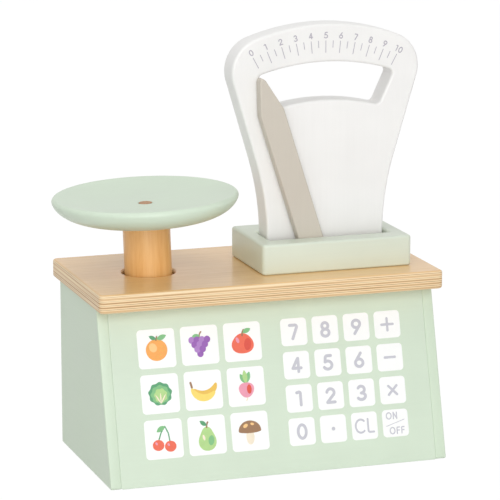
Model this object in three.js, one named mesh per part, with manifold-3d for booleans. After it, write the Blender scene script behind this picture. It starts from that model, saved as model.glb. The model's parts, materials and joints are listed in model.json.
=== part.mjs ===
// Toy kitchen scale: a box with a slanted front and a plywood top. A sprung weighing pan on a post
// drives a pointer in front of an upright dial, through a drive bar, a crank and an axle under the top.
// Millimetres, +Z up, the front faces -Y, the origin is the centre of the underside.
import * as THREE from 'three';
import { mergeVertices } from 'three/addons/utils/BufferGeometryUtils.js';
import Module from 'manifold-3d';

const wasm = await Module();
wasm.setup();

// Clearances
const FIT_GAP = 0.3; // between a piece and the seat, hole or slot that holds it
const AXLE_RUNNING_GAP = 0.1; // axle in its bearers, on the radius
const PRESS_GAP = 0.05; // axle and pin in the pieces pressed onto them, on the radius
const POINTER_GAP = 0.6; // pointer to the dial behind it and to the slot's front edge
const LINK_GAP = 0.6; // crank pin in the drive bar's slot, and the pillar's spigot in the spring
const POST_HOLE_GAP = 1.9; // post in the top's hole, on the radius
const SLOT_END_GAP = 1.2; // dial's foot to the ends of the block's slot
const PAN_TO_DIAL = 16.3; // pan's edge to the dial's foot, sideways
const PAD_TO_BATTEN = 7.5; // drive bar's pad to the left top batten
const PAD_TO_BACK = 18.8; // drive bar's pad to the back panel
const BEARER_TO_FRONT = 4; // front bearer to the front panel, at the top
const CRANK_TO_BOARD = 3.5; // crank's hub to the underside of the top
const BAR_TO_BOARD = 0.7; // drive bar's far end to the underside of the top, at rest
const BATTEN_END_GAP = 6; // batten ends to the front and back panels
const MERGE_DISTANCE = 1e-4; // corners nearer than this are one corner

// Body box
const BODY_HEIGHT = 110;
const FRONT_SET_BACK = 30; // how far the front leans back over the body's height
const WALL = 7;
const BATTEN = 12; // square section of the four battens

// Plywood top
const BOARD_THICKNESS = 12;
const BOARD_SIDE_OVERHANG = 2;
const BOARD_FRONT_OVERHANG = 16.5;
const BOARD_BACK_OVERHANG = 12.5;
const BOARD_FACE_CORNER = 2; // radius of the upper face's corners, inside the rounded edge
const BOARD_EDGE_ROUND = 1.5;

// Dial block
const BLOCK_HEIGHT = 20;
const BLOCK_END_WALL = 9.8; // wood beyond the slot
const BLOCK_FRONT_WALL = 14.5;
const BLOCK_BACK_WALL = 23.5;
const BLOCK_MARGIN = 14; // block's right end to the edge of the top
const BLOCK_FACE_CORNER = 1.5;
const BLOCK_EDGE_ROUND = 1.5;

// Dial plate, heights from the top of the board
const DIAL_THICKNESS = 18;
const DIAL_HEIGHT = 157;
const DIAL_WIDTH = 127.5;
const DIAL_FOOT_WIDTH = 80;
const DIAL_TOP_RADIUS = 145.5;
const DIAL_CORNER_RADIUS = 22.5;
const DIAL_WAIST_HEIGHT = 44; // where the flare would meet the foot
const DIAL_WAIST_ROUND = 27; // length of the waist's curve to each side
const DIAL_EDGE_ROUND = 1.5;
const WINDOW_SIDE_RIM = 17; // window's upper corners to the dial's widest place
const WINDOW_TOP_RIM = 24.6;
const WINDOW_HEIGHT = 24.6;
const WINDOW_END_SLANT = 10.2; // how far each end leans in from its upper corner
const WINDOW_TOP_RADIUS = 150;
const WINDOW_BOTTOM_RADIUS = 140;
const WINDOW_CORNER = 5;

// Pointer
const POINTER_LEAN = 17.7; // degrees to the left at rest, and as far to the right at full travel
const POINTER_WIDTH = 16.5;
const POINTER_TIP_DROP = 24; // tip to the dial's top when the pointer stands upright
const POINTER_TAPER = 24.5;
const POINTER_TIP_ROUND = 2.2;
const POINTER_THICKNESS = 8;
const POINTER_EDGE_ROUND = 0.8;

// Axle, bearers and crank under the top
const AXLE_RADIUS = 2.5;
const BEARER_WALL = 1; // wood beside a screw's head
const BEARER_SKIRT = 8; // wood below the axle's centre
const BEARER_SCREW_REACH = 10; // screws to each side of the axle
const BEARER_SCREW_INSET = 4; // screws to the bearer's ends
const CRANK_RADIUS = 20;
const CRANK_HALF_WIDTH = 5.5;
const CRANK_THICKNESS = 3.5;
const CRANK_PIN_RADIUS = 2;

// Post and pan
const POST_BEHIND_DIAL = 4.5; // post's axis behind the middle of the dial
const POST_LEAN = 2.1; // degrees to the left, loose in its hole
const POST_RADIUS = 15.3;
const POST_RISE = 35.5; // pan's underside above the top, along the post
const PAN_RADIUS = 60;
const PAN_HEIGHT = 15.5;
const PAN_FLANK = 22; // width of the round flank
const PAN_RIM_ROUND = 3.2;
const PAN_DISH_DEPTH = 5.8;
const PLUG_RADIUS = 4.6;
const PLUG_HEIGHT = 3;

// Drive bar under the post
const BAR_HEIGHT = 13;
const BAR_THICKNESS = 8;
const BAR_END = 5.4; // wood beyond the slot
const PAD_RIM = 3; // pad's edge beyond the post's hole

// Return spring and its pillar
const SPRING_LENGTH = 40;
const SPRING_RADIUS = 8; // at the middle of the wire
const SPRING_WIRE = 1.4;
const SPRING_TURNS = 7;
const PILLAR_RIM = 4.3; // pillar's edge beyond the spring
const SPIGOT_HEIGHT = 10;

// Countersunk wood screws, each as long as the wood it passes and its bite in the next piece
const SCREW_RADIUS = 1.5;
const SCREW_HEAD_RADIUS = 2.7;
const SCREW_HEAD = 2.2;
const TOP_SCREW_BITE = 4;
const BASE_SCREW_BITE = 8;
const BLOCK_SCREW_BITE = 12;
const BEARER_SCREW_BITE = 5;
const PAN_SCREW_BITE = 22;
const BAR_SCREW_BITE = 16;
const PILLAR_SCREW_BITE = 15;
const BATTEN_SCREW_INSET = 8; // from the batten's ends
const BLOCK_SCREW_INSET = 14; // from the block's ends
const DIAL_SCREW_SPAN = 50;

// Facets
const SMALL_SIDES = 8;
const ROUND_SIDES = 24;
const TURNED_SIDES = 40;
const CURVE_STEPS = 6;
const SPRING_STEPS = 8; // along each turn
const SPRING_SIDES = 5;

// Widths, from left to right
const PAD_RADIUS = POST_RADIUS + POST_HOLE_GAP + PAD_RIM;
const POST_FROM_LEFT = BOARD_SIDE_OVERHANG + WALL + BATTEN + PAD_TO_BATTEN + PAD_RADIUS;
const POST_TO_DIAL = PAN_RADIUS + PAN_TO_DIAL + DIAL_FOOT_WIDTH / 2;
const SLOT_HALF = DIAL_FOOT_WIDTH / 2 + SLOT_END_GAP;
const BLOCK_WIDTH = 2 * (SLOT_HALF + BLOCK_END_WALL);
const BOARD_WIDTH = POST_FROM_LEFT + POST_TO_DIAL + BLOCK_WIDTH / 2 + BLOCK_MARGIN;
const BODY_WIDTH = BOARD_WIDTH - 2 * BOARD_SIDE_OVERHANG;
const INNER_X = BODY_WIDTH / 2 - WALL;
const POST_X = POST_FROM_LEFT - BOARD_WIDTH / 2;
const DIAL_X = POST_X + POST_TO_DIAL;

// Depths, from the upper edge of the front to the back
const FRONT_ANGLE = Math.atan2(FRONT_SET_BACK, BODY_HEIGHT);
const FRONT_WALL_RUN = WALL / Math.cos(FRONT_ANGLE);
const BEARER_THICKNESS = 2 * (SCREW_HEAD_RADIUS + FIT_GAP + BEARER_WALL);
const SLOT_SET_BACK = FRONT_WALL_RUN + BEARER_TO_FRONT + BEARER_THICKNESS;
const DIAL_SET_BACK = SLOT_SET_BACK + POINTER_THICKNESS + 2 * POINTER_GAP;
const POST_SET_BACK = DIAL_SET_BACK + DIAL_THICKNESS / 2 + POST_BEHIND_DIAL;
const TOP_DEPTH = POST_SET_BACK + PAD_RADIUS + PAD_TO_BACK + WALL;
const BODY_DEPTH = FRONT_SET_BACK + TOP_DEPTH;
const BACK_Y = BODY_DEPTH / 2;
const TOP_FRONT_Y = BACK_Y - TOP_DEPTH;
const BOARD_FRONT_Y = TOP_FRONT_Y - BOARD_FRONT_OVERHANG;
const BOARD_BACK_Y = BACK_Y + BOARD_BACK_OVERHANG;
const SLOT_FRONT_Y = TOP_FRONT_Y + SLOT_SET_BACK;
const POINTER_FRONT_Y = SLOT_FRONT_Y + POINTER_GAP;
const POINTER_BACK_Y = POINTER_FRONT_Y + POINTER_THICKNESS;
const DIAL_FRONT_Y = TOP_FRONT_Y + DIAL_SET_BACK;
const DIAL_MID_Y = DIAL_FRONT_Y + DIAL_THICKNESS / 2;
const DIAL_BACK_Y = DIAL_FRONT_Y + DIAL_THICKNESS;
const SLOT_BACK_Y = DIAL_BACK_Y + FIT_GAP;
const BLOCK_FRONT_Y = SLOT_FRONT_Y - BLOCK_FRONT_WALL;
const BLOCK_BACK_Y = SLOT_BACK_Y + BLOCK_BACK_WALL;
const POST_Y = TOP_FRONT_Y + POST_SET_BACK;
const FRONT_BEARER_FRONT_Y = SLOT_FRONT_Y - BEARER_THICKNESS;
const REAR_BEARER_BACK_Y = DIAL_FRONT_Y + BEARER_THICKNESS;
const CRANK_FRONT_Y = REAR_BEARER_BACK_Y + FIT_GAP;
const CRANK_BACK_Y = CRANK_FRONT_Y + CRANK_THICKNESS;
const BAR_FRONT_Y = CRANK_BACK_Y + FIT_GAP;
const BAR_BACK_Y = BAR_FRONT_Y + BAR_THICKNESS;

// Heights
const BOARD_UNDER = BODY_HEIGHT;
const BOARD_TOP = BODY_HEIGHT + BOARD_THICKNESS;
const AXLE_DROP = CRANK_HALF_WIDTH + CRANK_TO_BOARD;
const AXLE_Z = BOARD_UNDER - AXLE_DROP;
const POINTER_LENGTH = AXLE_DROP + BOARD_THICKNESS + DIAL_HEIGHT - POINTER_TIP_DROP;
const PAN_RIM = POST_RISE + PAN_HEIGHT;
const PAN_DISH = PAN_RIM - PAN_DISH_DEPTH;
const PLUG_BOTTOM = PAN_DISH - PLUG_HEIGHT;

// Distances along the leaning bar from the post's axis, and square to it from the top of the board
const LEAN = THREE.MathUtils.degToRad(POST_LEAN);
const POINTER_REST = THREE.MathUtils.degToRad(POINTER_LEAN);
const AXLE_ALONG = POST_TO_DIAL * Math.cos(LEAN) + (AXLE_Z - BOARD_TOP) * Math.sin(LEAN);
const AXLE_ABOVE = (AXLE_Z - BOARD_TOP) * Math.cos(LEAN) - POST_TO_DIAL * Math.sin(LEAN);
const PIN_SLOT_HALF = CRANK_PIN_RADIUS + LINK_GAP;
const PIN_SLOT_END = AXLE_ALONG + CRANK_RADIUS + PIN_SLOT_HALF;
const BAR_LENGTH = PIN_SLOT_END + BAR_END;
const BAR_TOP = -(BOARD_THICKNESS + BAR_TO_BOARD + BAR_LENGTH * Math.sin(LEAN)) / Math.cos(LEAN);
const BAR_MIDDLE = BAR_TOP - BAR_HEIGHT / 2;
const BAR_BOTTOM = BAR_TOP - BAR_HEIGHT;
const CRANK_TO_BAR = Math.asin((BAR_MIDDLE - AXLE_ABOVE) / CRANK_RADIUS); // crank's angle to the bar
const CRANK_REST = LEAN + CRANK_TO_BAR;
const CRANK_END = CRANK_TO_BAR - 2 * POINTER_REST; // at the end of the pointer's swing
const PIN_SLOT_START = AXLE_ALONG + CRANK_RADIUS * Math.cos(CRANK_END) - PIN_SLOT_HALF;

// Spring, from the drive bar's pad down to the pillar
const SPRING_X = POST_X - BAR_BOTTOM * Math.sin(LEAN);
const SPRING_OUTER = SPRING_RADIUS + SPRING_WIRE / 2;
const PAD_LOWEST_Z = BOARD_TOP + BAR_BOTTOM * Math.cos(LEAN) - SPRING_OUTER * Math.sin(LEAN);
const SPRING_BOTTOM_Z = PAD_LOWEST_Z - FIT_GAP - SPRING_LENGTH;
const PILLAR_TOP_Z = SPRING_BOTTOM_Z - FIT_GAP;
const PILLAR_RADIUS = SPRING_OUTER + PILLAR_RIM;
const SPIGOT_RADIUS = SPRING_RADIUS - SPRING_WIRE / 2 - LINK_GAP;

// Screw lengths
const TOP_SCREW = BATTEN + TOP_SCREW_BITE;
const BASE_SCREW = WALL + BASE_SCREW_BITE;
const BLOCK_SCREW = BOARD_THICKNESS + BLOCK_SCREW_BITE;
const BEARER_SCREW = AXLE_DROP + BEARER_SKIRT + BEARER_SCREW_BITE;
const PAN_SCREW = PLUG_BOTTOM - POST_RISE + PAN_SCREW_BITE;
const BAR_SCREW = BAR_HEIGHT + BAR_SCREW_BITE;
const PILLAR_SCREW = WALL + PILLAR_SCREW_BITE;

const COLOURS = {
  mint: { color: 0xcfdfc9, roughness: 0.45, metalness: 0 },
  white: { color: 0xf1f0ee, roughness: 0.5, metalness: 0 },
  beige: { color: 0xcfc7bc, roughness: 0.5, metalness: 0 },
  plywood: { color: 0xd8bd92, roughness: 0.35, metalness: 0 },
  pine: { color: 0xe0ab68, roughness: 0.5, metalness: 0 },
  beech: { color: 0xd2a679, roughness: 0.6, metalness: 0 },
  plug: { color: 0xa5764f, roughness: 0.6, metalness: 0 },
  steel: { color: 0xb9bcc0, roughness: 0.35, metalness: 1 },
  nylon: { color: 0xe4e2da, roughness: 0.5, metalness: 0 },
};

/** Front face's y at a height, on its outer side. */
function frontY(z) {
  return -BODY_DEPTH / 2 + z * Math.tan(FRONT_ANGLE);
}

/** A closed solid for joining and cutting, from a geometry whose faces point out. */
function toSolid(geometry) {
  const bare = geometry.index ? geometry.toNonIndexed() : geometry.clone();
  for (const name of Object.keys(bare.attributes)) {
    if (name !== 'position') bare.deleteAttribute(name);
  }
  const merged = mergeVertices(bare, MERGE_DISTANCE);
  const corners = [];
  const index = merged.index.array;
  for (let i = 0; i < index.length; i += 3) {
    const [a, b, c] = index.slice(i, i + 3);
    if (a !== b && b !== c && c !== a) corners.push(a, b, c);
  }
  const mesh = new wasm.Mesh({
    numProp: 3,
    vertProperties: new Float32Array(merged.attributes.position.array),
    triVerts: new Uint32Array(corners),
  });
  return new wasm.Manifold(mesh);
}

/** A geometry from a joined or cut solid. */
function toGeometry(solid) {
  const mesh = solid.getMesh();
  const geometry = new THREE.BufferGeometry();
  geometry.setAttribute('position', new THREE.BufferAttribute(new Float32Array(mesh.vertProperties), 3));
  geometry.setIndex(new THREE.BufferAttribute(new Uint32Array(mesh.triVerts), 1));
  return geometry;
}

/** The first geometry with the others taken out of it. */
function cut(geometry, tools) {
  let solid = toSolid(geometry);
  for (const tool of tools) solid = solid.subtract(toSolid(tool));
  return toGeometry(solid);
}

/** Two geometries as one. */
function join(first, second) {
  return toGeometry(toSolid(first).add(toSolid(second)));
}

/** A box between two opposite corners. */
function box(low, high) {
  const size = high.map((value, i) => value - low[i]);
  const centre = high.map((value, i) => (value + low[i]) / 2);
  return new THREE.BoxGeometry(...size).translate(...centre);
}

/** An upright rod from one height to another. */
function rodZ(x, y, z0, z1, radius, sides) {
  const rod = new THREE.CylinderGeometry(radius, radius, z1 - z0, sides);
  return rod.rotateX(Math.PI / 2).translate(x, y, (z0 + z1) / 2);
}

/** A rod from front to back. */
function rodY(x, z, y0, y1, radius) {
  const rod = new THREE.CylinderGeometry(radius, radius, y1 - y0, ROUND_SIDES);
  return rod.translate(x, (y0 + y1) / 2, z);
}

/** A turned piece from a profile of [radius, height] points that starts and ends on the axis. */
function turned(profile, sides) {
  const points = profile.map(([radius, height]) => new THREE.Vector2(radius, height));
  return new THREE.LatheGeometry(points, sides).rotateX(Math.PI / 2);
}

/** An extrusion of a shape with its edges rounded by one chamfered step inside the outline. */
function extruded(shape, depth, round) {
  return new THREE.ExtrudeGeometry(shape, {
    depth: depth - 2 * round,
    curveSegments: CURVE_STEPS,
    bevelEnabled: round > 0,
    bevelSize: round,
    bevelOffset: -round,
    bevelThickness: round,
    bevelSegments: 1,
  }).translate(0, 0, round);
}

/** A plate whose outline is drawn in x and z, between two y. */
function plateXZ(shape, y0, y1, round = 0) {
  return extruded(shape, y1 - y0, round).rotateX(Math.PI / 2).translate(0, y1, 0);
}

/** A plate whose outline is drawn in y and z, between two x. */
function plateYZ(outline, x0, x1) {
  const shape = new THREE.Shape(outline.map(([y, z]) => new THREE.Vector2(y, z)));
  const turn = new THREE.Matrix4().makeBasis(
    new THREE.Vector3(0, 1, 0),
    new THREE.Vector3(0, 0, 1),
    new THREE.Vector3(1, 0, 0),
  );
  return extruded(shape, x1 - x0, 0).applyMatrix4(turn).translate(x0, 0, 0);
}

/** A lying slab with round corners and rounded edges, between two opposite corners. */
function slab(low, high, faceCorner, round) {
  const [x, y] = [0, 1].map((i) => (high[i] - low[i]) / 2);
  const radius = faceCorner + round;
  const shape = new THREE.Shape();
  shape.moveTo(x, -y + radius);
  shape.absarc(x - radius, y - radius, radius, 0, Math.PI / 2);
  shape.absarc(-x + radius, y - radius, radius, Math.PI / 2, Math.PI);
  shape.absarc(-x + radius, -y + radius, radius, Math.PI, 1.5 * Math.PI);
  shape.absarc(x - radius, -y + radius, radius, 1.5 * Math.PI, 2 * Math.PI);
  return extruded(shape, high[2] - low[2], round).translate(low[0] + x, low[1] + y, low[2]);
}

/** A countersunk screw that points up from the underside of its head. */
function screwGeometry(length) {
  return turned([
    [0, 0],
    [SCREW_HEAD_RADIUS, 0],
    [SCREW_RADIUS, SCREW_HEAD],
    [SCREW_RADIUS, length - 2 * SCREW_RADIUS],
    [0, length],
  ], SMALL_SIDES);
}

/** The hole that a screw of this length needs, with clearance all round and an open mouth. */
function screwHole(length) {
  return turned([
    [0, -2 * FIT_GAP],
    [SCREW_HEAD_RADIUS + FIT_GAP, -2 * FIT_GAP],
    [SCREW_HEAD_RADIUS + FIT_GAP, 0],
    [SCREW_RADIUS + FIT_GAP, SCREW_HEAD],
    [SCREW_RADIUS + FIT_GAP, length + FIT_GAP],
    [0, length + FIT_GAP],
  ], SMALL_SIDES);
}

const scale = new THREE.Group();

/** Adds a named piece with its own material to a group. */
function addPiece(name, geometry, colour, group = scale) {
  const mesh = new THREE.Mesh(geometry, new THREE.MeshStandardMaterial(COLOURS[colour]));
  mesh.name = name;
  group.add(mesh);
}

/** Adds the screws of one kind, numbered, at their places. */
function addScrews(name, places, length, group = scale) {
  places.forEach(([x, y, z], i) => {
    const label = places.length > 1 ? `${name}_${i + 1}` : name;
    addPiece(label, screwGeometry(length).translate(x, y, z), 'steel', group);
  });
}

/** The holes for screws at some places. */
function screwHoles(places, length) {
  return places.map(([x, y, z]) => screwHole(length).translate(x, y, z));
}

/** Screw places to each side of x at the same depth and height. */
function screwPair(x, reach, y, z) {
  return [-1, 1].map((side) => [x + side * reach, y, z]);
}

// Batten ends, and screw places at the underside of each head
const battenX = INNER_X - BATTEN / 2;
const battenBackY = BACK_Y - WALL - BATTEN_END_GAP;
const topBattenFrontY = TOP_FRONT_Y + FRONT_WALL_RUN + BATTEN_END_GAP;
const baseBattenFrontY = frontY(WALL + BATTEN) + FRONT_WALL_RUN + BATTEN_END_GAP;
const topBattenUnder = BOARD_UNDER - BATTEN;
const topScrews = [
  ...screwPair(0, battenX, topBattenFrontY + BATTEN_SCREW_INSET, topBattenUnder + FIT_GAP),
  ...screwPair(0, battenX, battenBackY - BATTEN_SCREW_INSET, topBattenUnder + FIT_GAP),
];
const baseScrews = [
  ...screwPair(0, battenX, baseBattenFrontY + BATTEN_SCREW_INSET, FIT_GAP),
  ...screwPair(0, battenX, battenBackY - BATTEN_SCREW_INSET, FIT_GAP),
];
const boardScrewZ = BOARD_UNDER + FIT_GAP;
const blockScrewReach = BLOCK_WIDTH / 2 - BLOCK_SCREW_INSET;
const blockScrews = [
  ...screwPair(DIAL_X, blockScrewReach, BLOCK_FRONT_Y + BLOCK_FRONT_WALL / 2, boardScrewZ),
  ...screwPair(DIAL_X, blockScrewReach, BLOCK_BACK_Y - BLOCK_BACK_WALL / 2, boardScrewZ),
];
const dialScrews = screwPair(DIAL_X, DIAL_SCREW_SPAN / 2, DIAL_MID_Y, boardScrewZ);
const bearerUnder = AXLE_Z - BEARER_SKIRT;
const frontBearerMidY = SLOT_FRONT_Y - BEARER_THICKNESS / 2;
const rearBearerMidY = DIAL_FRONT_Y + BEARER_THICKNESS / 2;
const frontBearerScrews = screwPair(DIAL_X, BEARER_SCREW_REACH, frontBearerMidY, bearerUnder + FIT_GAP);
const rearBearerScrews = screwPair(DIAL_X, BEARER_SCREW_REACH, rearBearerMidY, bearerUnder + FIT_GAP);
const pillarScrews = [[SPRING_X, POST_Y, FIT_GAP]];

/** Side, front, back and base panels, glued edge to edge, and the battens in their corners. */
function addBody() {
  const side = [
    [-BACK_Y, 0],
    [BACK_Y, 0],
    [BACK_Y, BODY_HEIGHT],
    [TOP_FRONT_Y, BODY_HEIGHT],
  ];
  addPiece('left_side_panel', plateYZ(side, -BODY_WIDTH / 2, -INNER_X), 'mint');
  addPiece('right_side_panel', plateYZ(side, INNER_X, BODY_WIDTH / 2), 'mint');
  const front = [
    [-BACK_Y, 0],
    [-BACK_Y + FRONT_WALL_RUN, 0],
    [TOP_FRONT_Y + FRONT_WALL_RUN, BODY_HEIGHT],
    [TOP_FRONT_Y, BODY_HEIGHT],
  ];
  addPiece('front_panel', plateYZ(front, -INNER_X, INNER_X), 'mint');
  const back = box([-INNER_X, BACK_Y - WALL, 0], [INNER_X, BACK_Y, BODY_HEIGHT]);
  addPiece('back_panel', back, 'mint');
  const base = [
    [frontY(0) + FRONT_WALL_RUN, 0],
    [BACK_Y - WALL, 0],
    [BACK_Y - WALL, WALL],
    [frontY(WALL) + FRONT_WALL_RUN, WALL],
  ];
  const baseHoles = [...screwHoles(baseScrews, BASE_SCREW), ...screwHoles(pillarScrews, PILLAR_SCREW)];
  addPiece('base_board', cut(plateYZ(base, -INNER_X, INNER_X), baseHoles), 'beech');
  for (const [word, x] of [['left', -battenX], ['right', battenX]]) {
    const [x0, x1] = [x - BATTEN / 2, x + BATTEN / 2];
    const top = box([x0, topBattenFrontY, topBattenUnder], [x1, battenBackY, BOARD_UNDER]);
    const low = box([x0, baseBattenFrontY, WALL], [x1, battenBackY, WALL + BATTEN]);
    addPiece(`${word}_top_batten`, cut(top, screwHoles(topScrews, TOP_SCREW)), 'beech');
    addPiece(`${word}_base_batten`, cut(low, screwHoles(baseScrews, BASE_SCREW)), 'beech');
  }
  addScrews('top_screw', topScrews, TOP_SCREW);
  addScrews('base_screw', baseScrews, BASE_SCREW);
}

/** Half of the pointer's swing at a height above the axle, with the pointer's own half width. */
function pointerHalfSweep(height) {
  return height * Math.tan(POINTER_REST) + POINTER_WIDTH / 2 / Math.cos(POINTER_REST);
}

/** The plywood top, with the post's hole, the pointer's slot and the screws' pilot holes. */
function addTopBoard() {
  const low = [-BOARD_WIDTH / 2, BOARD_FRONT_Y, BOARD_UNDER];
  const high = [BOARD_WIDTH / 2, BOARD_BACK_Y, BOARD_TOP];
  const board = slab(low, high, BOARD_FACE_CORNER, BOARD_EDGE_ROUND);
  const under = BOARD_UNDER - BOARD_THICKNESS;
  const above = BOARD_TOP + BOARD_THICKNESS;
  const postHole = rodZ(POST_X, POST_Y, under, above, POST_RADIUS + POST_HOLE_GAP, TURNED_SIDES);
  const half = pointerHalfSweep(BOARD_TOP - AXLE_Z) + POINTER_GAP;
  const slot = box([DIAL_X - half, SLOT_FRONT_Y, under], [DIAL_X + half, DIAL_FRONT_Y, above]);
  const holes = [
    ...screwHoles(topScrews, TOP_SCREW),
    ...screwHoles([...blockScrews, ...dialScrews], BLOCK_SCREW),
    ...screwHoles([...frontBearerScrews, ...rearBearerScrews], BEARER_SCREW),
  ];
  addPiece('top_board', cut(board, [postHole, slot, ...holes]), 'plywood');
}

/** The block on the top with its slot, and the dial plate that stands in it. */
function addDial() {
  const low = [DIAL_X - BLOCK_WIDTH / 2, BLOCK_FRONT_Y, BOARD_TOP];
  const high = [DIAL_X + BLOCK_WIDTH / 2, BLOCK_BACK_Y, BOARD_TOP + BLOCK_HEIGHT];
  const block = slab(low, high, BLOCK_FACE_CORNER, BLOCK_EDGE_ROUND);
  const slotLow = [DIAL_X - SLOT_HALF, SLOT_FRONT_Y, BOARD_TOP - BLOCK_HEIGHT];
  const slotHigh = [DIAL_X + SLOT_HALF, SLOT_BACK_Y, BOARD_TOP + 2 * BLOCK_HEIGHT];
  const blockCuts = [box(slotLow, slotHigh), ...screwHoles(blockScrews, BLOCK_SCREW)];
  addPiece('dial_block', cut(block, blockCuts), 'mint');
  addScrews('block_screw', blockScrews, BLOCK_SCREW);

  const outline = dialOutline();
  outline.holes.push(windowOutline());
  const plate = plateXZ(outline, DIAL_FRONT_Y, DIAL_BACK_Y, DIAL_EDGE_ROUND).translate(DIAL_X, 0, BOARD_TOP);
  addPiece('dial_plate', cut(plate, screwHoles(dialScrews, BLOCK_SCREW)), 'white');
  addScrews('dial_screw', dialScrews, BLOCK_SCREW);
}

/** The dial's fan: an arched top, round shoulders, sides that flare from a waist and a straight foot. */
function dialOutline() {
  const arcY = DIAL_HEIGHT - DIAL_TOP_RADIUS;
  const x = DIAL_WIDTH / 2 - DIAL_CORNER_RADIUS;
  const y = arcY + Math.sqrt((DIAL_TOP_RADIUS - DIAL_CORNER_RADIUS) ** 2 - x ** 2);
  const foot = DIAL_FOOT_WIDTH / 2;
  const rise = y - DIAL_WAIST_HEIGHT;
  const flare = Math.atan2(x - foot, rise) + Math.asin(DIAL_CORNER_RADIUS / Math.hypot(x - foot, rise));
  const shoulder = Math.atan2(y - arcY, x);
  const waistX = foot + DIAL_WAIST_ROUND * Math.sin(flare);
  const waistY = DIAL_WAIST_HEIGHT + DIAL_WAIST_ROUND * Math.cos(flare);
  const shape = new THREE.Shape();
  shape.moveTo(-foot, 0);
  shape.lineTo(foot, 0);
  shape.lineTo(foot, DIAL_WAIST_HEIGHT - DIAL_WAIST_ROUND);
  shape.quadraticCurveTo(foot, DIAL_WAIST_HEIGHT, waistX, waistY);
  shape.absarc(x, y, DIAL_CORNER_RADIUS, -flare, shoulder);
  shape.absarc(0, arcY, DIAL_TOP_RADIUS, shoulder, Math.PI - shoulder);
  shape.absarc(-x, y, DIAL_CORNER_RADIUS, Math.PI - shoulder, Math.PI + flare);
  shape.lineTo(-waistX, waistY);
  shape.quadraticCurveTo(-foot, DIAL_WAIST_HEIGHT, -foot, DIAL_WAIST_HEIGHT - DIAL_WAIST_ROUND);
  return shape;
}

/** Height at x of an arch whose crown is on the middle line. */
function arch(crown, radius, x) {
  return crown - radius + Math.sqrt(radius ** 2 - x ** 2);
}

/** The window's outline: two arched edges and slanted ends with round corners. */
function windowOutline() {
  const crown = DIAL_HEIGHT - WINDOW_TOP_RIM;
  const sill = crown - WINDOW_HEIGHT;
  const upperX = DIAL_WIDTH / 2 - WINDOW_SIDE_RIM;
  const lowerX = upperX - WINDOW_END_SLANT;
  const upper = new THREE.Vector2(upperX, arch(crown, WINDOW_TOP_RADIUS, upperX));
  const lower = new THREE.Vector2(lowerX, arch(sill, WINDOW_BOTTOM_RADIUS, lowerX));
  const along = upper.clone().sub(lower).setLength(WINDOW_CORNER);
  const low = lower.clone().add(along);
  const high = upper.clone().sub(along);
  const topX = upperX - WINDOW_CORNER;
  const bottomX = lowerX - WINDOW_CORNER;
  const topY = arch(crown, WINDOW_TOP_RADIUS, topX);
  const bottomY = arch(sill, WINDOW_BOTTOM_RADIUS, bottomX);
  const topAngle = Math.acos(topX / WINDOW_TOP_RADIUS);
  const bottomAngle = Math.acos(bottomX / WINDOW_BOTTOM_RADIUS);
  const bottomCentre = sill - WINDOW_BOTTOM_RADIUS;
  const path = new THREE.Path();
  path.moveTo(bottomX, bottomY);
  path.quadraticCurveTo(lower.x, lower.y, low.x, low.y);
  path.lineTo(high.x, high.y);
  path.quadraticCurveTo(upper.x, upper.y, topX, topY);
  path.absarc(0, crown - WINDOW_TOP_RADIUS, WINDOW_TOP_RADIUS, topAngle, Math.PI - topAngle);
  path.quadraticCurveTo(-upper.x, upper.y, -high.x, high.y);
  path.lineTo(-low.x, low.y);
  path.quadraticCurveTo(-lower.x, lower.y, -bottomX, bottomY);
  path.absarc(0, bottomCentre, WINDOW_BOTTOM_RADIUS, Math.PI - bottomAngle, bottomAngle, true);
  return path;
}

/** The two wooden bearers under the top that carry the pointer's axle. */
function addBearers() {
  const kinds = [
    ['front_bearer', frontBearerMidY, frontBearerScrews],
    ['rear_bearer', rearBearerMidY, rearBearerScrews],
  ];
  const half = BEARER_SCREW_REACH + BEARER_SCREW_INSET;
  for (const [name, y, screws] of kinds) {
    const [y0, y1] = [y - BEARER_THICKNESS / 2, y + BEARER_THICKNESS / 2];
    const bearer = box([DIAL_X - half, y0, bearerUnder], [DIAL_X + half, y1, BOARD_UNDER]);
    const bore = rodY(DIAL_X, AXLE_Z, y0 - FIT_GAP, y1 + FIT_GAP, AXLE_RADIUS + AXLE_RUNNING_GAP);
    addPiece(name, cut(bearer, [bore, ...screwHoles(screws, BEARER_SCREW)]), 'beech');
    addScrews(`${name}_screw`, screws, BEARER_SCREW);
  }
}

/** The pointer's outline, standing up from the axle at the origin. */
function pointerOutline() {
  const half = POINTER_WIDTH / 2;
  const shoulder = POINTER_LENGTH - POINTER_TAPER;
  const tipY = POINTER_LENGTH - (POINTER_TIP_ROUND * POINTER_TAPER) / half / 2;
  const shape = new THREE.Shape();
  shape.moveTo(half, 0);
  shape.lineTo(half, shoulder);
  shape.lineTo(POINTER_TIP_ROUND, tipY);
  shape.quadraticCurveTo(0, POINTER_LENGTH + POINTER_TIP_ROUND / 2, -POINTER_TIP_ROUND, tipY);
  shape.lineTo(-half, shoulder);
  shape.lineTo(-half, 0);
  shape.absarc(0, 0, half, Math.PI, 2 * Math.PI);
  return shape;
}

/** The bore for a rod that is pressed in at x on the turning group, between two y. */
function pressedBore(x, radius, y0, y1) {
  return rodY(x, 0, y0 - FIT_GAP, y1 + FIT_GAP, radius + PRESS_GAP);
}

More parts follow.
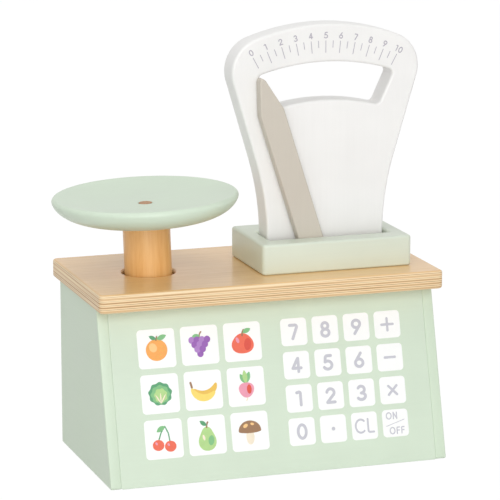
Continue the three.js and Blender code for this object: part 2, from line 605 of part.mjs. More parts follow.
/** The pointer, its axle, and the crank and pin on the axle's rear end, as one turning group. */
function addPointer() {
  const group = new THREE.Group();
  group.position.set(DIAL_X, 0, AXLE_Z);
  group.rotation.y = -POINTER_REST;
  scale.add(group);
  const blade = plateXZ(pointerOutline(), POINTER_FRONT_Y, POINTER_BACK_Y, POINTER_EDGE_ROUND);
  const axleBore = pressedBore(0, AXLE_RADIUS, POINTER_FRONT_Y, POINTER_BACK_Y);
  addPiece('pointer', cut(blade, [axleBore]), 'beige', group);
  addPiece('pointer_axle', rodY(0, 0, FRONT_BEARER_FRONT_Y, CRANK_BACK_Y, AXLE_RADIUS), 'steel', group);

  const crank = new THREE.Group();
  crank.rotation.y = POINTER_REST - CRANK_REST;
  group.add(crank);
  const outline = new THREE.Shape();
  outline.absarc(0, 0, CRANK_HALF_WIDTH, Math.PI / 2, 1.5 * Math.PI);
  outline.absarc(CRANK_RADIUS, 0, CRANK_HALF_WIDTH, -Math.PI / 2, Math.PI / 2);
  const bores = [
    pressedBore(0, AXLE_RADIUS, CRANK_FRONT_Y, CRANK_BACK_Y),
    pressedBore(CRANK_RADIUS, CRANK_PIN_RADIUS, CRANK_FRONT_Y, CRANK_BACK_Y),
  ];
  addPiece('crank_arm', cut(plateXZ(outline, CRANK_FRONT_Y, CRANK_BACK_Y), bores), 'nylon', crank);
  addPiece('crank_pin', rodY(CRANK_RADIUS, 0, CRANK_FRONT_Y, BAR_BACK_Y, CRANK_PIN_RADIUS), 'steel', crank);
}

/** The pan's turned profile: a flat underside, a round flank, a half round rim and a shallow dish. */
function panProfile() {
  const rimY = PAN_RIM - PAN_RIM_ROUND;
  const rimX = PAN_RADIUS - PAN_RIM_ROUND;
  const flatX = PAN_RADIUS - PAN_FLANK;
  const points = [[0, POST_RISE]];
  for (let i = 0; i <= CURVE_STEPS; i += 1) {
    const turn = (i / CURVE_STEPS) * (Math.PI / 2);
    points.push([flatX + PAN_FLANK * Math.sin(turn), rimY - (rimY - POST_RISE) * Math.cos(turn)]);
  }
  for (let i = 1; i <= CURVE_STEPS; i += 1) {
    const turn = (i / CURVE_STEPS) * (Math.PI / 2);
    points.push([rimX + PAN_RIM_ROUND * Math.cos(turn), rimY + PAN_RIM_ROUND * Math.sin(turn)]);
  }
  for (let i = 1; i <= CURVE_STEPS; i += 1) {
    const share = 1 - i / CURVE_STEPS;
    points.push([rimX * share, PAN_DISH + PAN_DISH_DEPTH * share ** 2]);
  }
  return points;
}

/** The post with the pan on it and the drive bar under it, leaning together in the post's hole. */
function addPan() {
  const group = new THREE.Group();
  group.position.set(POST_X, POST_Y, BOARD_TOP);
  group.rotation.y = -LEAN;
  scale.add(group);

  const screwTop = PLUG_BOTTOM - FIT_GAP;
  const panScrew = screwGeometry(PAN_SCREW).rotateX(Math.PI).translate(0, 0, screwTop);
  const panScrewHole = screwHole(PAN_SCREW).rotateX(Math.PI).translate(0, 0, screwTop);
  const plugHole = rodZ(0, 0, screwTop, PAN_RIM, PLUG_RADIUS + FIT_GAP, ROUND_SIDES);
  addPiece('pan', cut(turned(panProfile(), TURNED_SIDES), [plugHole, panScrewHole]), 'mint', group);
  addPiece('pan_plug', rodZ(0, 0, PLUG_BOTTOM, PAN_DISH, PLUG_RADIUS, ROUND_SIDES), 'plug', group);
  addPiece('pan_screw', panScrew, 'steel', group);

  const barScrews = [[0, 0, BAR_BOTTOM + FIT_GAP]];
  const barScrewHoles = screwHoles(barScrews, BAR_SCREW);
  const post = rodZ(0, 0, BAR_TOP + FIT_GAP, POST_RISE - FIT_GAP, POST_RADIUS, TURNED_SIDES);
  addPiece('post', cut(post, [panScrewHole, ...barScrewHoles]), 'pine', group);

  const [front, back] = [BAR_FRONT_Y - POST_Y, BAR_BACK_Y - POST_Y];
  const web = box([0, front, BAR_BOTTOM], [BAR_LENGTH, back, BAR_TOP]);
  const pad = rodZ(0, 0, BAR_BOTTOM, BAR_TOP, PAD_RADIUS, ROUND_SIDES);
  const pinSlot = box(
    [PIN_SLOT_START, front - FIT_GAP, BAR_MIDDLE - PIN_SLOT_HALF],
    [PIN_SLOT_END, back + FIT_GAP, BAR_MIDDLE + PIN_SLOT_HALF],
  );
  addPiece('drive_bar', cut(join(web, pad), [pinSlot, ...barScrewHoles]), 'beech', group);
  addScrews('bar_screw', barScrews, BAR_SCREW, group);
}

/** The return spring under the drive bar's pad, on its pillar. */
function addSpring() {
  const pillar = turned([
    [0, WALL],
    [PILLAR_RADIUS, WALL],
    [PILLAR_RADIUS, PILLAR_TOP_Z],
    [SPIGOT_RADIUS, PILLAR_TOP_Z],
    [SPIGOT_RADIUS, PILLAR_TOP_Z + SPIGOT_HEIGHT],
    [0, PILLAR_TOP_Z + SPIGOT_HEIGHT],
  ], ROUND_SIDES).translate(SPRING_X, POST_Y, 0);
  addPiece('spring_pillar', cut(pillar, screwHoles(pillarScrews, PILLAR_SCREW)), 'beech');
  addScrews('pillar_screw', pillarScrews, PILLAR_SCREW);
  addPiece('return_spring', springGeometry().translate(SPRING_X, POST_Y, SPRING_BOTTOM_Z), 'steel');
}

/** A wound spring that stands on z = 0: one unbroken tube of wire with closed ends. */
function springGeometry() {
  const steps = SPRING_TURNS * SPRING_STEPS;
  const wire = SPRING_WIRE / 2;
  const rise = SPRING_LENGTH - SPRING_WIRE;
  const positions = [];
  const index = [];
  const centres = [];
  for (let i = 0; i <= steps; i += 1) {
    const turn = (i / SPRING_STEPS) * 2 * Math.PI;
    const z = wire + (rise * i) / steps;
    centres.push(new THREE.Vector3(SPRING_RADIUS * Math.cos(turn), SPRING_RADIUS * Math.sin(turn), z));
    for (let k = 0; k < SPRING_SIDES; k += 1) {
      const roll = (k / SPRING_SIDES) * 2 * Math.PI;
      const radius = SPRING_RADIUS + wire * Math.cos(roll);
      positions.push(radius * Math.cos(turn), radius * Math.sin(turn), z + wire * Math.sin(roll));
    }
  }
  for (let i = 0; i < steps; i += 1) {
    for (let k = 0; k < SPRING_SIDES; k += 1) {
      const a = i * SPRING_SIDES + k;
      const b = i * SPRING_SIDES + ((k + 1) % SPRING_SIDES);
      index.push(a, a + SPRING_SIDES, b, b, a + SPRING_SIDES, b + SPRING_SIDES);
    }
  }
  const last = steps * SPRING_SIDES;
  for (let k = 1; k < SPRING_SIDES - 1; k += 1) {
    index.push(0, k, k + 1, last, last + k + 1, last + k);
  }
  let gap = Infinity;
  for (let i = 0; i + SPRING_STEPS <= steps; i += 1) {
    gap = Math.min(gap, centres[i].distanceTo(centres[i + SPRING_STEPS]) - SPRING_WIRE);
  }
  console.log(`return_spring: least gap between turns ${gap.toFixed(2)} mm`);
  const geometry = new THREE.BufferGeometry();
  geometry.setAttribute('position', new THREE.BufferAttribute(new Float32Array(positions), 3));
  geometry.setIndex(index);
  return geometry;
}

addBody();
addTopBoard();
addDial();
addBearers();
addPointer();
addPan();
addSpring();

export default scale;
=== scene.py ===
"""Looks of a toy kitchen scale: box with printed keys, plywood top, pan on a post, dial and pointer."""

import json
import logging
import math
from collections.abc import Iterable, Sequence
from dataclasses import dataclass, field
from enum import Enum

import bmesh
import bpy
import numpy as np
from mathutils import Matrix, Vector


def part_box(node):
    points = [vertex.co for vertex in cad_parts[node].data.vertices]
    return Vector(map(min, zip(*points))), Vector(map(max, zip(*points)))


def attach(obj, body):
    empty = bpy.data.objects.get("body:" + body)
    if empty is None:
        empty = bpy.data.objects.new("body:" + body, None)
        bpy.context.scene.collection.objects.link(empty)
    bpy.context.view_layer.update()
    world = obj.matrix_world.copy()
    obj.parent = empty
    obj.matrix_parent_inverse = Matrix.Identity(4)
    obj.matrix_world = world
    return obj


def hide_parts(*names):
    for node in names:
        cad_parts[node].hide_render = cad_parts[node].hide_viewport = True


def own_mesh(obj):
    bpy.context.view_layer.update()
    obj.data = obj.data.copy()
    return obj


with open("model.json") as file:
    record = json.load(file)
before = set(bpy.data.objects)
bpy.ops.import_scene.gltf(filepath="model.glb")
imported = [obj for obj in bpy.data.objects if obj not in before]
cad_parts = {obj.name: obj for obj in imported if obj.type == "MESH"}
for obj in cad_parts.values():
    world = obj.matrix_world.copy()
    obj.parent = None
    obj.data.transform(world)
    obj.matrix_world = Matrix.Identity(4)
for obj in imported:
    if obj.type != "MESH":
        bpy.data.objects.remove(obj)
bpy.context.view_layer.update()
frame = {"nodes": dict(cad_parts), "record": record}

LOG = logging.getLogger("toy_kitchen_scale")
MM = 0.001
MERGE_DISTANCE = 1e-7  # points closer than this, in metres, are one point
RAY_STEP = 0.006  # radians between neighbouring rays that cut a pair of outlines
EDGE_STEPS = 5  # facets of a quarter round
SUPPORT = 1.25  # how far in a plate's support line lies, in radii of its rounded edge
ROD_SUPPORT = 1.4  # the same on a rod's ends
MOST_REACH = 0.499  # the largest share of a straight run that one fillet takes
STRAIGHT_POINTS = 6  # points of a straight printed stroke
CAP_POINTS = 7  # points of a stroke's half round end, without its corners
LEVEL = 0.99999  # a face whose normal has a z past this lies level

Array = np.ndarray
Socket = bpy.types.NodeSocket


class Body(Enum):
    """The three bodies that move against each other."""

    HOUSING = "housing"
    PAN = "weighing_pan"
    POINTER = "pointer_arm"


class Axis(Enum):
    """The way that a wood's grain runs."""

    X = 0
    Y = 1
    Z = 2


# Meshes


@dataclass
class Grid:
    """A surface of u by v points, closed in u, and closed in v where it is a ring of sections.

    Attributes:
        points: array of (u, v, 3) places in metres.
        ring: whether the last v joins the first.
    """

    points: Array
    ring: bool = False

    def faces(self, start: int) -> Array:
        """Corner numbers of the quads between neighbouring points.

        Args:
            start: number of the grid's first point in the whole mesh.

        Returns:
            An array of (faces, 4) point numbers.
        """
        nu, nv = self.points.shape[:2]
        u, v = np.meshgrid(np.arange(nu), np.arange(nv if self.ring else nv - 1), indexing="ij")
        right, up = (u + 1) % nu, (v + 1) % nv
        return start + np.stack([u * nv + v, right * nv + v, right * nv + up, u * nv + up], -1).reshape(-1, 4)


@dataclass(frozen=True)
class Plane:
    """A flat drawing place: a point is origin + x * right + y * up + height * normal.

    right and up needn't be square to each other, so a leaning panel is a sheared plane.
    """

    origin: Sequence[float]
    right: Sequence[float] = (1, 0, 0)
    up: Sequence[float] = (0, 0, 1)
    normal: Sequence[float] = (0, -1, 0)

    def place(self, drawn: Array, height: Array | float) -> Array:
        """Puts drawn points into space.

        Args:
            drawn: (…, 2) points on the plane.
            height: their height above it.

        Returns:
            The points' (…, 3) places.
        """
        flat = drawn[..., :1] * np.array(self.right, float) + drawn[..., 1:] * np.array(self.up, float)
        raised = np.asarray(height)[..., None] * np.array(self.normal, float)
        return np.array(self.origin, float) + flat + raised


def level_at(height: float) -> Plane:
    """A level plane at a height, which is drawn along x and y and faces up."""
    return Plane((0, 0, height), (1, 0, 0), (0, 1, 0), (0, 0, 1))


def outward(curve: Array) -> Array:
    """Unit normals of a closed counter-clockwise curve: its chord from neighbour to neighbour, turned right.

    Args:
        curve: (n, 2) points.

    Returns:
        One outward normal for each point.
    """
    chord = np.roll(curve, -1, 0) - np.roll(curve, 1, 0)
    normal = np.stack([chord[:, 1], -chord[:, 0]], -1)
    return normal / np.linalg.norm(normal, axis=1, keepdims=True)


def rim(front: float, back: float, radius: float, back_radius: float, steps: int) -> Array:
    """A plate's rim: two quarter rounds joined by a straight wall, and a support line on both faces.

    Args:
        front: height of the front face.
        back: height of the back face.
        radius: radius of the front face's rounded edge.
        back_radius: radius of the back face's rounded edge.
        steps: facets of a quarter round.

    Returns:
        An array of (inset from the outline, height) from the front face round to the back face.
    """
    turn = np.linspace(0, math.pi / 2, steps + 1)
    inset, drop = 1 - np.sin(turn), 1 - np.cos(turn)
    near = np.stack([radius * inset, front - radius * drop], -1)
    far = np.stack([back_radius * inset, back + back_radius * drop], -1)[::-1]
    return np.vstack([[SUPPORT * radius, front], near, far, [SUPPORT * back_radius, back]])


def plate(plane: Plane, outer: Array, front: float, back: float, radius: float,
          inner: Array | None = None, spine: Array | None = None, back_radius: float | None = None,
          steps: int = EDGE_STEPS) -> Grid:
    """A plate with rounded edges: its rim's section is carried round the outline.

    With an inner outline of as many points, the section runs back through that hole and closes on itself.
    Without one, both faces close on a spine, which is the outline's centre unless it is given.

    Args:
        plane: where the outline is drawn.
        outer: (n, 2) counter-clockwise outline.
        front: height of the front face.
        back: height of the back face.
        radius: radius of the rounded edges.
        inner: outline of a hole, point for point with the outer one.
        spine: points inside the outline, point for point with it.
        back_radius: radius of the back's edge, if it is another.
        steps: facets of a quarter round.

    Returns:
        The plate's surface.
    """
    section = rim(front, back, radius, radius if back_radius is None else back_radius, steps)
    inset, height = section[:, 0], section[:, 1]
    rings = outer[:, None] - outward(outer)[:, None] * inset[None, :, None]
    heights = np.broadcast_to(height, rings.shape[:2])
    if inner is not None:
        hole = inner[:, None] + outward(inner)[:, None] * inset[None, ::-1, None]
        rings = np.concatenate([rings, hole], 1)
        heights = np.concatenate([heights, heights[:, ::-1]], 1)
        return Grid(plane.place(rings, heights), ring=True)
    middle = np.broadcast_to(outer.mean(0), outer.shape) if spine is None else spine
    rings = np.concatenate([middle[:, None], rings, middle[:, None]], 1)
    heights = np.concatenate([heights[:, :1], heights, heights[:, -1:]], 1)
    return Grid(plane.place(rings, heights))


def turned(profile: Array, foot: Array, axis: Array, sides: int) -> Grid:
    """A turned surface: a profile of (radius, height) spun about an axis through the foot.

    Args:
        profile: (n, 2) radii and heights, from one end of the axis to the other.
        foot: the axis point at height 0.
        axis: unit direction of the axis.
        sides: facets round the axis.

    Returns:
        The turned surface.
    """
    across = np.cross([0, 1, 0], axis)
    across = across / np.linalg.norm(across)
    deep = np.cross(axis, across)
    turn = np.linspace(0, 2 * math.pi, sides, endpoint=False)[:, None, None]
    spoke = np.cos(turn) * across + np.sin(turn) * deep
    return Grid(np.asarray(foot) + spoke * profile[None, :, :1] + np.asarray(axis) * profile[None, :, 1:])


def arc(centre: Sequence[float], radii: float | Sequence[float], start: float, end: float,
        steps: int) -> Array:
    """Points of an elliptic arc from one bearing in degrees to another, ends included."""
    turn = np.radians(np.linspace(start, end, steps + 1))
    return np.array(centre) + np.stack([np.cos(turn), np.sin(turn)], -1) * np.broadcast_to(radii, 2)


def ellipse(centre: Sequence[float], radii: float | Sequence[float], sides: int) -> Array:
    """Points of a whole ellipse, counter-clockwise from its right end."""
    return arc(centre, radii, 0, 360 - 360 / sides, sides - 1)


def quadratic(start: Sequence[float], pull: Sequence[float], end: Sequence[float], steps: int) -> Array:
    """Points of a quadratic curve: (1 - t)^2 times start, plus 2 t (1 - t) times pull, plus t^2 times end."""
    t = np.linspace(0, 1, steps + 1)[:, None]
    return (1 - t) ** 2 * np.array(start) + 2 * t * (1 - t) * np.array(pull) + t ** 2 * np.array(end)


def arch(half: float, crown: float, radius: float, steps: int = 40) -> Array:
    """Points of an arch from right to left: y is crown - radius + the root of radius^2 - x^2."""
    x = np.linspace(half, -half, steps + 1)
    return np.stack([x, crown - radius + np.sqrt(radius ** 2 - x ** 2)], -1)


def turning(angle: float) -> Array:
    """A matrix that turns rows of points counter-clockwise by an angle in radians."""
    return np.array([[math.cos(angle), math.sin(angle)], [-math.sin(angle), math.cos(angle)]])


def filleted(corners: Sequence[Sequence[float]], radius: float, closed: bool = True, steps: int = 6) -> Array:
    """A line of straight runs with each corner replaced by a tangent arc.

    The arc starts and ends radius / tan(half the corner's angle) from the corner, or at most
    at the middle of the shorter run beside it.

    Args:
        corners: the corner points.
        radius: fillet radius.
        closed: whether the last corner joins the first.
        steps: facets of each fillet.

    Returns:
        The points of the rounded line.
    """
    knots = np.array(corners, float)
    here = knots if closed else knots[1:-1]
    before = np.roll(knots, 1, 0) if closed else knots[:-2]
    after = np.roll(knots, -1, 0) if closed else knots[2:]
    back, ahead = before - here, after - here
    back_run = np.linalg.norm(back, axis=1, keepdims=True)
    ahead_run = np.linalg.norm(ahead, axis=1, keepdims=True)
    back, ahead = back / back_run, ahead / ahead_run
    half = np.arccos(np.clip((back * ahead).sum(1, keepdims=True), -1, 1)) / 2
    reach = np.minimum(radius / np.tan(half), MOST_REACH * np.minimum(back_run, ahead_run))
    bisector = (back + ahead) / np.linalg.norm(back + ahead, axis=1, keepdims=True)
    true_radius = reach * np.tan(half)
    centre = here + bisector * true_radius / np.sin(half)
    swing = math.pi / 2 - half
    side = np.sign(back[:, :1] * ahead[:, 1:] - back[:, 1:] * ahead[:, :1])
    turn = np.linspace(-1, 1, steps + 1)[None, :] * swing * -side
    cosine, sine = np.cos(turn)[..., None], np.sin(turn)[..., None]
    out = -bisector[:, None]
    spoke = np.concatenate([out[..., :1] * cosine - out[..., 1:] * sine,
                            out[..., :1] * sine + out[..., 1:] * cosine], -1)
    bends = (centre[:, None] + spoke * true_radius[:, None]).reshape(-1, 2)
    return bends if closed else np.vstack([knots[:1], bends, knots[-1:]])


def rectangle(x0: float, x1: float, y0: float, y1: float, radius: float) -> Array:
    """A counter-clockwise rectangle with round corners."""
    return filleted([(x0, y0), (x1, y0), (x1, y1), (x0, y1)], radius)


def on_rays(curve: Array, centre: Array, bearings: Array) -> Array:
    """Points where rays from a centre meet a curve that is seen whole from there.

    The ray d and the run from a to b meet at the reach (a x ab) / (d x ab).

    Args:
        curve: (n, 2) closed curve.
        centre: the rays' start.
        bearings: ascending ray angles in radians.

    Returns:
        One point for each bearing.
    """
    seen = curve - centre
    angle = np.arctan2(seen[:, 1], seen[:, 0])
    order = np.argsort(angle)
    seen, angle = seen[order], angle[order]
    after = np.searchsorted(angle, bearings) % len(seen)
    a, run = seen[after - 1], seen[after] - seen[after - 1]
    ray = np.stack([np.cos(bearings), np.sin(bearings)], -1)
    reach = (a[:, 0] * run[:, 1] - a[:, 1] * run[:, 0]) / (ray[:, 0] * run[:, 1] - ray[:, 1] * run[:, 0])
    return centre + ray * reach[:, None]


def paired(outer: Array, inner: Array, centre: Sequence[float]) -> tuple[Array, Array]:
    """Cuts two outlines by the same rays, near every corner of either, so that they match point for point.

    Args:
        outer: (n, 2) outline.
        inner: (m, 2) outline inside it.
        centre: a point from which both are seen whole.

    Returns:
        The points of the outer and of the inner outline.
    """
    middle = np.array(centre, float)
    away = np.vstack([outer, inner]) - middle
    bearings = np.unique(np.round(np.arctan2(away[:, 1], away[:, 0]) / RAY_STEP)) * RAY_STEP
    return on_rays(outer, middle, bearings), on_rays(inner, middle, bearings)


def ribbon(plane: Plane, path: Array, width: float, front: float, back: float, closed: bool = False) -> Grid:
    """A flat printed stroke: the path set off by half the width to both sides, with half round ends.

    Args:
        plane: where the path is drawn.
        path: (n, 2) points along the stroke.
        width: the stroke's width.
        front: height of the ink's face.
        back: height of the ink's underside.
        closed: whether the stroke is a loop.

    Returns:
        The stroke's surface.
    """
    edge = (front - back) / 4
    if closed:
        side = outward(path) * width / 2
        return plate(plane, path + side, front, back, edge, inner=path - side, steps=1)
    heading = np.gradient(path, axis=0)
    heading /= np.linalg.norm(heading, axis=1, keepdims=True)
    side = np.stack([heading[:, 1], -heading[:, 0]], -1) * width / 2
    turn = np.linspace(0, math.pi, CAP_POINTS + 2)[1:-1, None]
    end_cap = path[-1] + side[-1] * np.cos(turn) + heading[-1] * np.sin(turn) * width / 2
    start_cap = path[0] - side[0] * np.cos(turn) - heading[0] * np.sin(turn) * width / 2
    outline = np.vstack([path + side, end_cap, (path - side)[::-1], start_cap])
    end, start = np.repeat(path[-1:], CAP_POINTS, 0), np.repeat(path[:1], CAP_POINTS, 0)
    spine = np.vstack([path, end, path[::-1], start])
    return plate(plane, outline, front, back, edge, spine=spine, steps=1)


def make_object(name: str, grids: Iterable[Grid]) -> bpy.types.Object:
    """One object from grids: points and faces as whole arrays, poles merged, faces turned outwards.

    Args:
        name: the piece's name.
        grids: the surfaces that it is made of.

    Returns:
        The object, at the origin, smooth shaded.
    """
    points: list[Array] = []
    faces: list[Array] = []
    count = 0
    for grid in grids:
        points.append(grid.points.reshape(-1, 3))
        faces.append(grid.faces(count))
        count += len(points[-1])
    places, quads = np.vstack(points), np.vstack(faces)
    mesh = bpy.data.meshes.new(name)
    mesh.vertices.add(len(places))
    mesh.vertices.foreach_set("co", places.astype(np.float32).ravel())
    mesh.loops.add(quads.size)
    mesh.loops.foreach_set("vertex_index", quads.astype(np.int32).ravel())
    mesh.polygons.add(len(quads))
    mesh.polygons.foreach_set("loop_start", np.arange(0, quads.size, 4, dtype=np.int32))
    mesh.update(calc_edges=True)
    shape = bmesh.new()
    shape.from_mesh(mesh)
    bmesh.ops.remove_doubles(shape, verts=shape.verts, dist=MERGE_DISTANCE)
    bmesh.ops.recalc_face_normals(shape, faces=shape.faces)
    shape.to_mesh(mesh)
    shape.free()
    mesh.polygons.foreach_set("use_smooth", np.ones(len(mesh.polygons), bool))
    mesh.update()
    piece = bpy.data.objects.new(name, mesh)
    bpy.context.scene.collection.objects.link(piece)
    return piece


# Finishes


CLOUD_BAND = (0.3, 0.7)  # most values of a cloudy pattern lie between these
MULTIPLY_ADD = {"operation": "MULTIPLY_ADD"}  # the first value times the second, plus the third
COLOUR_MIX = {"data_type": "RGBA"}  # factor in 0, colours in 6 and 7, result from 2


def linear(colour: str, shade: float = 1.0) -> tuple[float, float, float, float]:
    """An sRGB hex colour as linear light: c / 12.92 when dark, else (c + 0.055) / 1.055 to the power of 2.4.

    Args:
        colour: the colour as "#rrggbb".
        shade: factor that makes it lighter or darker.

    Returns:
        Red, green, blue and an alpha of 1.
    """
    channel = np.array([int(colour[i:i + 2], 16) for i in (1, 3, 5)]) / 255
    light = np.where(channel <= 0.04045, channel / 12.92, ((channel + 0.055) / 1.055) ** 2.4)
    return (*(float(c) for c in np.clip(light * shade, 0, 1)), 1.0)


def add_node(tree: bpy.types.NodeTree, kind: str, inputs: Sequence[object] | dict[str | int, object] = (),
             output: str | int = 0, **settings: object) -> Socket | None:
    """Adds a shader node.

    Args:
        tree: the material's or world's node tree.
        kind: the node's type name, after "ShaderNode".
        inputs: a value or a source socket for each input, in order, or by name or number.
        output: name or number of the wanted output.
        **settings: properties of the node.

    Returns:
        The wanted output's socket, or None for a node that has none.
    """
    made = tree.nodes.new(f"ShaderNode{kind}")
    for key, value in settings.items():
        setattr(made, key, value)
    for key, value in inputs.items() if isinstance(inputs, dict) else enumerate(inputs):
        if isinstance(value, bpy.types.NodeSocket):
            tree.links.new(value, made.inputs[key])
        else:
            made.inputs[key].default_value = value
    return made.outputs[output] if made.outputs else None


def new_material(name: str) -> tuple[bpy.types.Material, bpy.types.NodeTree, Socket]:
    """An empty node material.

    Args:
        name: its real material and how that was made.

    Returns:
        The material, its node tree and the socket of its Object coordinates.
    """
    made = bpy.data.materials.new(name)
    made.use_nodes = True
    made.node_tree.nodes.clear()
    return made, made.node_tree, add_node(made.node_tree, "TexCoord", output="Object")


def along(grain: Axis, length: float, width: float) -> list[float]:
    """A pattern's size along x, y and z: long with the grain and narrow across it."""
    return [length if axis is grain else width for axis in Axis]


def sized_pattern(tree: bpy.types.NodeTree, place: Socket, size: float | Sequence[float], detail: float,
                  distortion: float = 0.0) -> Socket:
    """A cloudy pattern whose features have a real size along each axis.

    Args:
        tree: the material's tree.
        place: socket of the coordinates.
        size: the features' size in metres along x, y and z, or one size for all.
        detail: how many finer clouds lie on the coarsest.
        distortion: how far the features are warped.

    Returns:
        The socket of the pattern's value.
    """
    scale = tuple(float(1 / s) for s in np.broadcast_to(size, 3))
    mapped = add_node(tree, "Mapping", {"Vector": place, "Scale": scale}, vector_type="POINT")
    return add_node(tree, "TexNoise", {"Vector": mapped, "Scale": 1.0, "Detail": detail,
                                       "Distortion": distortion}, "Fac")


def finish_shader(tree: bpy.types.NodeTree, colour: object, roughness: object, height: Socket,
                  relief: float, **settings: Socket | float) -> None:
    """Ends a material in one Principled shader, with relief in metres from a height socket.

    Args:
        tree: the material's tree.
        colour: base colour value or socket.
        roughness: roughness value or socket.
        height: bump height socket.
        relief: depth of the bump in metres.
        **settings: further Principled inputs, with underscores for spaces.
    """
    bump = add_node(tree, "Bump", {"Strength": 1.0, "Distance": relief, "Height": height})
    further = {key.replace("_", " "): value for key, value in settings.items()}
    shader = add_node(tree, "BsdfPrincipled", {"Base Color": colour, "Roughness": roughness, "Normal": bump,
                                               **further})
    add_node(tree, "OutputMaterial", {"Surface": shader})


@dataclass(frozen=True)
class PaintedWood:
    """Water-based paint sprayed on sanded beech and plywood: a satin coat that still shows a faint grain."""

    name: str
    colour: str
    grain: Axis = Axis.X
    roughness: float = 0.42
    roughness_spread: tuple[float, float] = (-0.04, 0.05)
    shades: tuple[float, float] = (0.955, 1.03)
    cloud: float = 40 * MM
    cloud_share: float = 0.55
    grain_length: float = 45 * MM
    grain_width: float = 1.6 * MM
    grain_share: float = 0.45
    peel: float = 0.9 * MM
    peel_share: float = 0.35
    relief: float = 0.035 * MM

    def material(self) -> bpy.types.Material:
        """Builds the paint: cloudy colour, faint grain lines and a fine orange peel under a satin coat.

        Returns:
            The material.
        """
        made, tree, place = new_material(self.name)
        # the spray's clouds are a few centimetres wide and only just seen
        clouds = sized_pattern(tree, place, self.cloud, 2)
        lines = sized_pattern(tree, place, along(self.grain, self.grain_length, self.grain_width), 3)
        # the peel is drawn coarser than a sprayed coat has it, so that it shows
        peel = sized_pattern(tree, place, self.peel, 1)
        tint = add_node(tree, "MapRange", (clouds, *CLOUD_BAND, 0, self.cloud_share))
        blend = add_node(tree, "Math", (lines, self.grain_share, tint), **MULTIPLY_ADD)
        dark, light = (linear(self.colour, shade) for shade in self.shades)
        colour = add_node(tree, "Mix", {0: blend, 6: dark, 7: light}, 2, **COLOUR_MIX)
        height = add_node(tree, "Math", (peel, self.peel_share, lines), **MULTIPLY_ADD)
        gloss, dull = (self.roughness + spread for spread in self.roughness_spread)
        rough = add_node(tree, "MapRange", (clouds, *CLOUD_BAND, gloss, dull))
        finish_shader(tree, colour, rough, height, self.relief, IOR=1.5, Coat_Weight=0.12,
                      Coat_Roughness=0.25)
        return made


